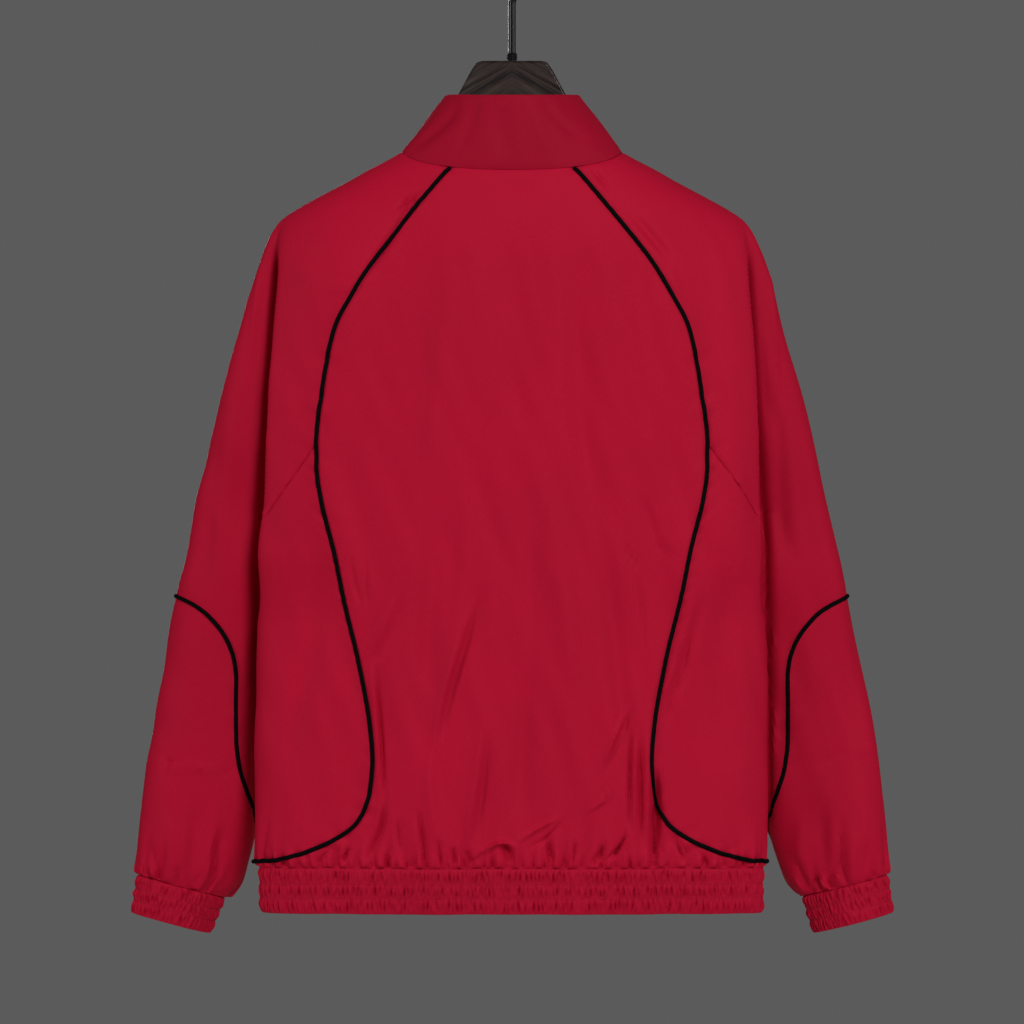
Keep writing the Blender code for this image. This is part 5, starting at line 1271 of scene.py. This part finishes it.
class Graph:
    """The node tree of a new material, with one method that adds any node."""

    def __init__(self, name):
        self.material = bpy.data.materials.new("finish_" + name)
        self.material.use_nodes = True
        self.tree = self.material.node_tree
        self.shader = next(node for node in self.tree.nodes if node.type == "BSDF_PRINCIPLED")

    def node(self, kind, settings=(), inputs=(), output=0):
        """Adds a node: its settings first, then its inputs by number or by name; gives one of its outputs."""
        made = self.tree.nodes.new(kind)
        for key, value in dict(settings).items():
            setattr(made, key, value)
        pairs = inputs.items() if isinstance(inputs, dict) else enumerate(inputs)
        for key, value in pairs:
            self.put(made.inputs[key], value)
        return Value(self, made.outputs[output])

    def put(self, socket, value):
        if isinstance(value, Value):
            self.tree.links.new(value.socket, socket)
        else:
            socket.default_value = value

    def set(self, **inputs):
        for key, value in inputs.items():
            self.put(self.shader.inputs[key.replace("_", " ")], value)
        return self.material

    def place(self):
        return self.node("ShaderNodeTexCoord", output="Object")

    def noise(self, vector, scale, detail=2.0, rough=0.5):
        return self.node("ShaderNodeTexNoise", (), {"Vector": vector, "Scale": scale, "Detail": detail,
                                                    "Roughness": rough}, "Fac")

    def blend(self, share, first, second):
        return self.node("ShaderNodeMix", {"data_type": "RGBA"}, {0: share, 6: first, 7: second}, 2)

    def bump(self, height, distance, strength=1.0):
        return self.node("ShaderNodeBump", (), {"Height": height, "Distance": distance, "Strength": strength})


def tinted(colour, factor):
    return tuple(min(1.0, part * factor) for part in colour[:3]) + (1.0,)


def cloth_finish(name, colour, roughness, weave):
    """A plain weave: fine crossing threads, faint slubs and a broad unevenness of tone."""
    graph = Graph(name)
    split = graph.node("ShaderNodeSeparateXYZ", (), (graph.node("ShaderNodeUVMap", {"uv_map": "cloth"}),))
    down = Value(graph, split.socket.node.outputs[1])
    pitch = math.tau / weave
    threads = (split * pitch).maths("SINE") * (down * pitch).maths("SINE")
    place = graph.place()
    slubs = graph.noise(place, 900.0, 3.0, 0.6)
    broad = graph.noise(place, 9.0, 3.0)
    flecks = graph.noise(place, 420.0, 2.0, 0.7)
    tone = broad * 0.35 + slubs * 0.45 + flecks * 0.35 - 0.08
    base = graph.blend(tone, tinted(colour, 0.76), tinted(colour, 1.24))
    height = threads * 0.5 + slubs * 1.2
    return graph.set(Base_Color=base, Specular_IOR_Level=0.06, Roughness=broad * 0.08 + (roughness - 0.04),
                     Normal=graph.bump(height, 0.00004, 0.5))


def plain_finish(name, colour, roughness, specular=0.15, coat=0.0):
    graph = Graph(name)
    place = graph.place()
    spots = graph.noise(place, 400.0)
    graph.shader.inputs["Specular IOR Level"].default_value = specular
    graph.shader.inputs["Coat Weight"].default_value = coat
    graph.shader.inputs["Coat Roughness"].default_value = 0.12
    return graph.set(Base_Color=graph.blend(spots, tinted(colour, 0.9), tinted(colour, 1.1)),
                     Roughness=spots * 0.06 + (roughness - 0.03))


def wood_finish(name, colour):
    """Dark varnished wood whose grain climbs to a chevron at the middle."""
    graph = Graph(name)
    split = graph.node("ShaderNodeSeparateXYZ", (), (graph.place(),))
    x, y, z = (Value(graph, split.socket.node.outputs[k]) for k in range(3))
    climb = z + x.maths("ABSOLUTE") * 0.6
    along = x.maths("ABSOLUTE") - z * 0.6
    vector = graph.node("ShaderNodeCombineXYZ", (), (along * 6.0, y * 30.0, climb * 120.0))
    fibres = graph.noise(vector, 4.4, 4.0, 0.65)
    streaks = graph.noise(vector, 1.5, 2.0, 0.4)
    share = (fibres * 0.7 + streaks * 0.6 - 0.65) * 2.8 + 0.36
    share = share.maths("MAXIMUM", 0.0).maths("MINIMUM", 1.0)
    base = graph.blend(share, tinted(colour, 0.3), tinted(colour, 3.0))
    graph.shader.inputs["Coat Weight"].default_value = 0.35
    graph.shader.inputs["Coat Roughness"].default_value = 0.1
    graph.shader.inputs["Specular IOR Level"].default_value = 0.08
    return graph.set(Base_Color=base, Roughness=0.42 - fibres * 0.1, Normal=graph.bump(fibres, 0.00004, 0.3))


def settings():
    return bpy.context.scene.windbreaker


def finish(name):
    """A finish by its short name, made on first use from the scene's settings."""
    made = bpy.data.materials.get("finish_" + name)
    if made:
        return made
    use = settings()
    kinds = {
        "cloth": lambda: cloth_finish(name, use.cloth_colour, 0.62, 0.0006),
        "band": lambda: cloth_finish(name, tinted(use.cloth_colour, use.band_tone), 0.62, 0.0009),
        # The collar's finish is the cloth darkened by painted shade, standing in for the shade that falls on the
        # leaning collar.
        "collar": lambda: cloth_finish(name, tinted(use.cloth_colour, use.collar_painted_shade), 0.62, 0.0006),
        "thread": lambda: plain_finish(name, tinted(use.cloth_colour, 0.55), 0.5),
        "piping": lambda: plain_finish(name, use.piping_colour, 0.75, 0.03),
        "tape": lambda: plain_finish(name, use.piping_colour, 0.6),
        "coil": lambda: plain_finish(name, use.piping_colour, 0.35),
        "metal": lambda: plain_finish(name, use.metal_colour, 0.2, 0.28),
        "zip_metal": lambda: plain_finish(name, use.metal_colour, 0.3, 0.5, 0.2),
        "wood": lambda: wood_finish(name, use.wood_colour),
    }
    return kinds[name]()


def dress(node, name):
    """Gives a solid that stays on show its finish."""
    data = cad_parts[node].data
    data.materials.clear()
    data.materials.append(finish(name))


# ---- the studio ----

CAMERA_AT, CAMERA_LENS = (0.0, 6.0, -0.5327), 228.0
FLOOR_Z, FLOOR_RADIUS = -1.1, 0.8
BACKDROP = 0.105
# name, place, aim, size, watts
LIGHTS = (
    ("key", (-1.05, 4.0, 1.25), (0, 0, -0.55), 1.4, 91.0),
    ("left_fill", (3.2, 2.0, 0.3), (0, 0, -0.5), 1.4, 39.0),
    ("right_fill", (-3.2, 1.6, 0.1), (0, 0, -0.5), 1.4, 24.0),
    ("front", (0.7, -4.0, -0.1), (0, 0, -0.5), 1.6, 46.0),
)


def build_stage():
    world = bpy.data.worlds.new("studio")
    world.use_nodes = True
    colour = world.node_tree.nodes["Background"].inputs["Color"]
    colour.default_value = (BACKDROP, BACKDROP, BACKDROP * 1.01, 1)
    bpy.context.scene.world = world
    for name, at, aim, size, watts in LIGHTS:
        data = bpy.data.lights.new(name, "AREA")
        data.energy, data.shape, data.size = watts, "DISK", size
        lamp = linked(name, data)
        lamp.location = at
        lamp.rotation_euler = (Vector(aim) - Vector(at)).to_track_quat("-Z", "Y").to_euler()
    ground = bmesh.new()
    bmesh.ops.create_circle(ground, cap_ends=True, segments=96, radius=FLOOR_RADIUS,
                            matrix=Matrix.Translation((0, 0, FLOOR_Z)))
    floor = linked("floor", mesh_of("floor", ground))
    floor.data.materials.append(plain_finish("floor", (0.6, 0.6, 0.6), 0.7))
    data = bpy.data.cameras.new("camera")
    data.lens, data.sensor_width = CAMERA_LENS, 36.0
    camera = linked("camera", data)
    camera.location = CAMERA_AT
    camera.rotation_euler = (math.pi / 2, 0, math.pi)
    bpy.context.scene.camera = camera
    bpy.context.scene.view_settings.view_transform = "Standard"


# ---- the add-on: settings, operators and panel ----


class WindbreakerSettings(bpy.types.PropertyGroup):
    cloth_colour: bpy.props.FloatVectorProperty(
        name="Cloth", description="Colour of the woven cloth", subtype="COLOR", default=(0.50, 0.0055, 0.032))
    band_tone: bpy.props.FloatProperty(
        name="Band tone", description="Brightness of the hem and cuffs against the cloth", default=0.93)
    # Painted shade: the collar's cloth is made darker to stand in for the shade that falls on the leaning collar.
    collar_painted_shade: bpy.props.FloatProperty(
        name="Collar painted shade", description="Brightness of the collar against the cloth", default=0.75)
    piping_colour: bpy.props.FloatVectorProperty(
        name="Piping", description="Colour of the piping and the zip", subtype="COLOR",
        default=(0.003, 0.003, 0.0035))
    metal_colour: bpy.props.FloatVectorProperty(
        name="Metal", description="Colour of the hook, ferrule and slider", subtype="COLOR",
        default=(0.004, 0.004, 0.0045))
    wood_colour: bpy.props.FloatVectorProperty(
        name="Wood", description="Colour of the hanger", subtype="COLOR", default=(0.023, 0.0150, 0.0125))
    fold_depth: bpy.props.FloatProperty(
        name="Fold depth", description="Share of the shown depth of folds and gathers",
        default=1.0, min=0, max=1.5)
    wall: bpy.props.FloatProperty(
        name="Cloth thickness", description="Thickness of the panels' cloth", default=0.0007, unit="LENGTH")
    piping_radius: bpy.props.FloatProperty(
        name="Piping radius", description="Radius of the piping", default=0.002, unit="LENGTH")
    stitch_pitch: bpy.props.FloatProperty(
        name="Stitch pitch", description="Distance from one stitch to the next",
        default=0.0027, unit="LENGTH")


SIDES = ((1, "left"), (-1, "right"))


class WINDBREAKER_OT_body(bpy.types.Operator):
    """Builds the back, the fronts and the side panels"""
    bl_idname = "windbreaker.body"
    bl_label = "Body panels"

    def execute(self, context):
        build_back()
        for side, word in SIDES:
            build_front(side, word)
            build_side(side, word)
        return {"FINISHED"}


class WINDBREAKER_OT_sleeves(bpy.types.Operator):
    """Builds the sleeves, each in one piece down to its cuff"""
    bl_idname = "windbreaker.sleeves"
    bl_label = "Sleeves"

    def execute(self, context):
        for side, word in SIDES:
            build_sleeve(side, word)
        return {"FINISHED"}


class WINDBREAKER_OT_bands(bpy.types.Operator):
    """Builds the collar and the gathered hem and cuffs with their stitches"""
    bl_idname = "windbreaker.bands"
    bl_label = "Collar, hem and cuffs"

    def execute(self, context):
        build_collar()
        stitches = build_stitches()
        build_hem()
        for side, word in SIDES:
            build_cuff(side, word)
        return {"FINISHED"}


class WINDBREAKER_OT_piping(bpy.types.Operator):
    """Builds the piping along the panels' seams and round the sleeves"""
    bl_idname = "windbreaker.piping"
    bl_label = "Piping"

    def execute(self, context):
        for side, word in SIDES:
            build_piping(side, word)
            build_sleeve_piping(side, word)
        return {"FINISHED"}


class WINDBREAKER_OT_zip(bpy.types.Operator):
    """Builds the zip's tapes and teeth, and finishes its slider and pull"""
    bl_idname = "windbreaker.zip"
    bl_label = "Zip"

    def execute(self, context):
        for side, word in SIDES:
            build_tape(side, word)
        build_teeth()
        for node in ("zip_slider", "zip_pull"):
            dress(node, "zip_metal")
        return {"FINISHED"}


class WINDBREAKER_OT_hanger(bpy.types.Operator):
    """Builds the wooden hanger and its hook, and finishes the ferrule"""
    bl_idname = "windbreaker.hanger"
    bl_label = "Hanger"

    def execute(self, context):
        build_hanger()
        build_hook()
        dress("hanger_ferrule", "metal")
        return {"FINISHED"}


class WINDBREAKER_OT_stage(bpy.types.Operator):
    """Sets the camera, the lights, the backdrop and the floor"""
    bl_idname = "windbreaker.stage"
    bl_label = "Studio"

    def execute(self, context):
        build_stage()
        return {"FINISHED"}


PIECES = (WINDBREAKER_OT_body, WINDBREAKER_OT_sleeves, WINDBREAKER_OT_bands, WINDBREAKER_OT_piping,
          WINDBREAKER_OT_zip, WINDBREAKER_OT_hanger, WINDBREAKER_OT_stage)


class WINDBREAKER_PT_panel(bpy.types.Panel):
    bl_label = "Windbreaker"
    bl_idname = "WINDBREAKER_PT_panel"
    bl_space_type = "VIEW_3D"
    bl_region_type = "UI"
    bl_category = "Windbreaker"

    def draw(self, context):
        for name in WindbreakerSettings.__annotations__:
            self.layout.prop(context.scene.windbreaker, name)
        for piece in PIECES:
            self.layout.operator(piece.bl_idname)


CLASSES = (WindbreakerSettings, *PIECES, WINDBREAKER_PT_panel)


def register():
    for each in CLASSES:
        bpy.utils.register_class(each)
    bpy.types.Scene.windbreaker = bpy.props.PointerProperty(type=WindbreakerSettings)


def unregister():
    del bpy.types.Scene.windbreaker
    for each in reversed(CLASSES):
        bpy.utils.unregister_class(each)


def main():
    register()
    bpy.ops.windbreaker.body()
    bpy.ops.windbreaker.sleeves()
    bpy.ops.windbreaker.bands()
    bpy.ops.windbreaker.piping()
    bpy.ops.windbreaker.zip()
    bpy.ops.windbreaker.hanger()
    bpy.ops.windbreaker.stage()


if __name__ == "__main__":
    main()
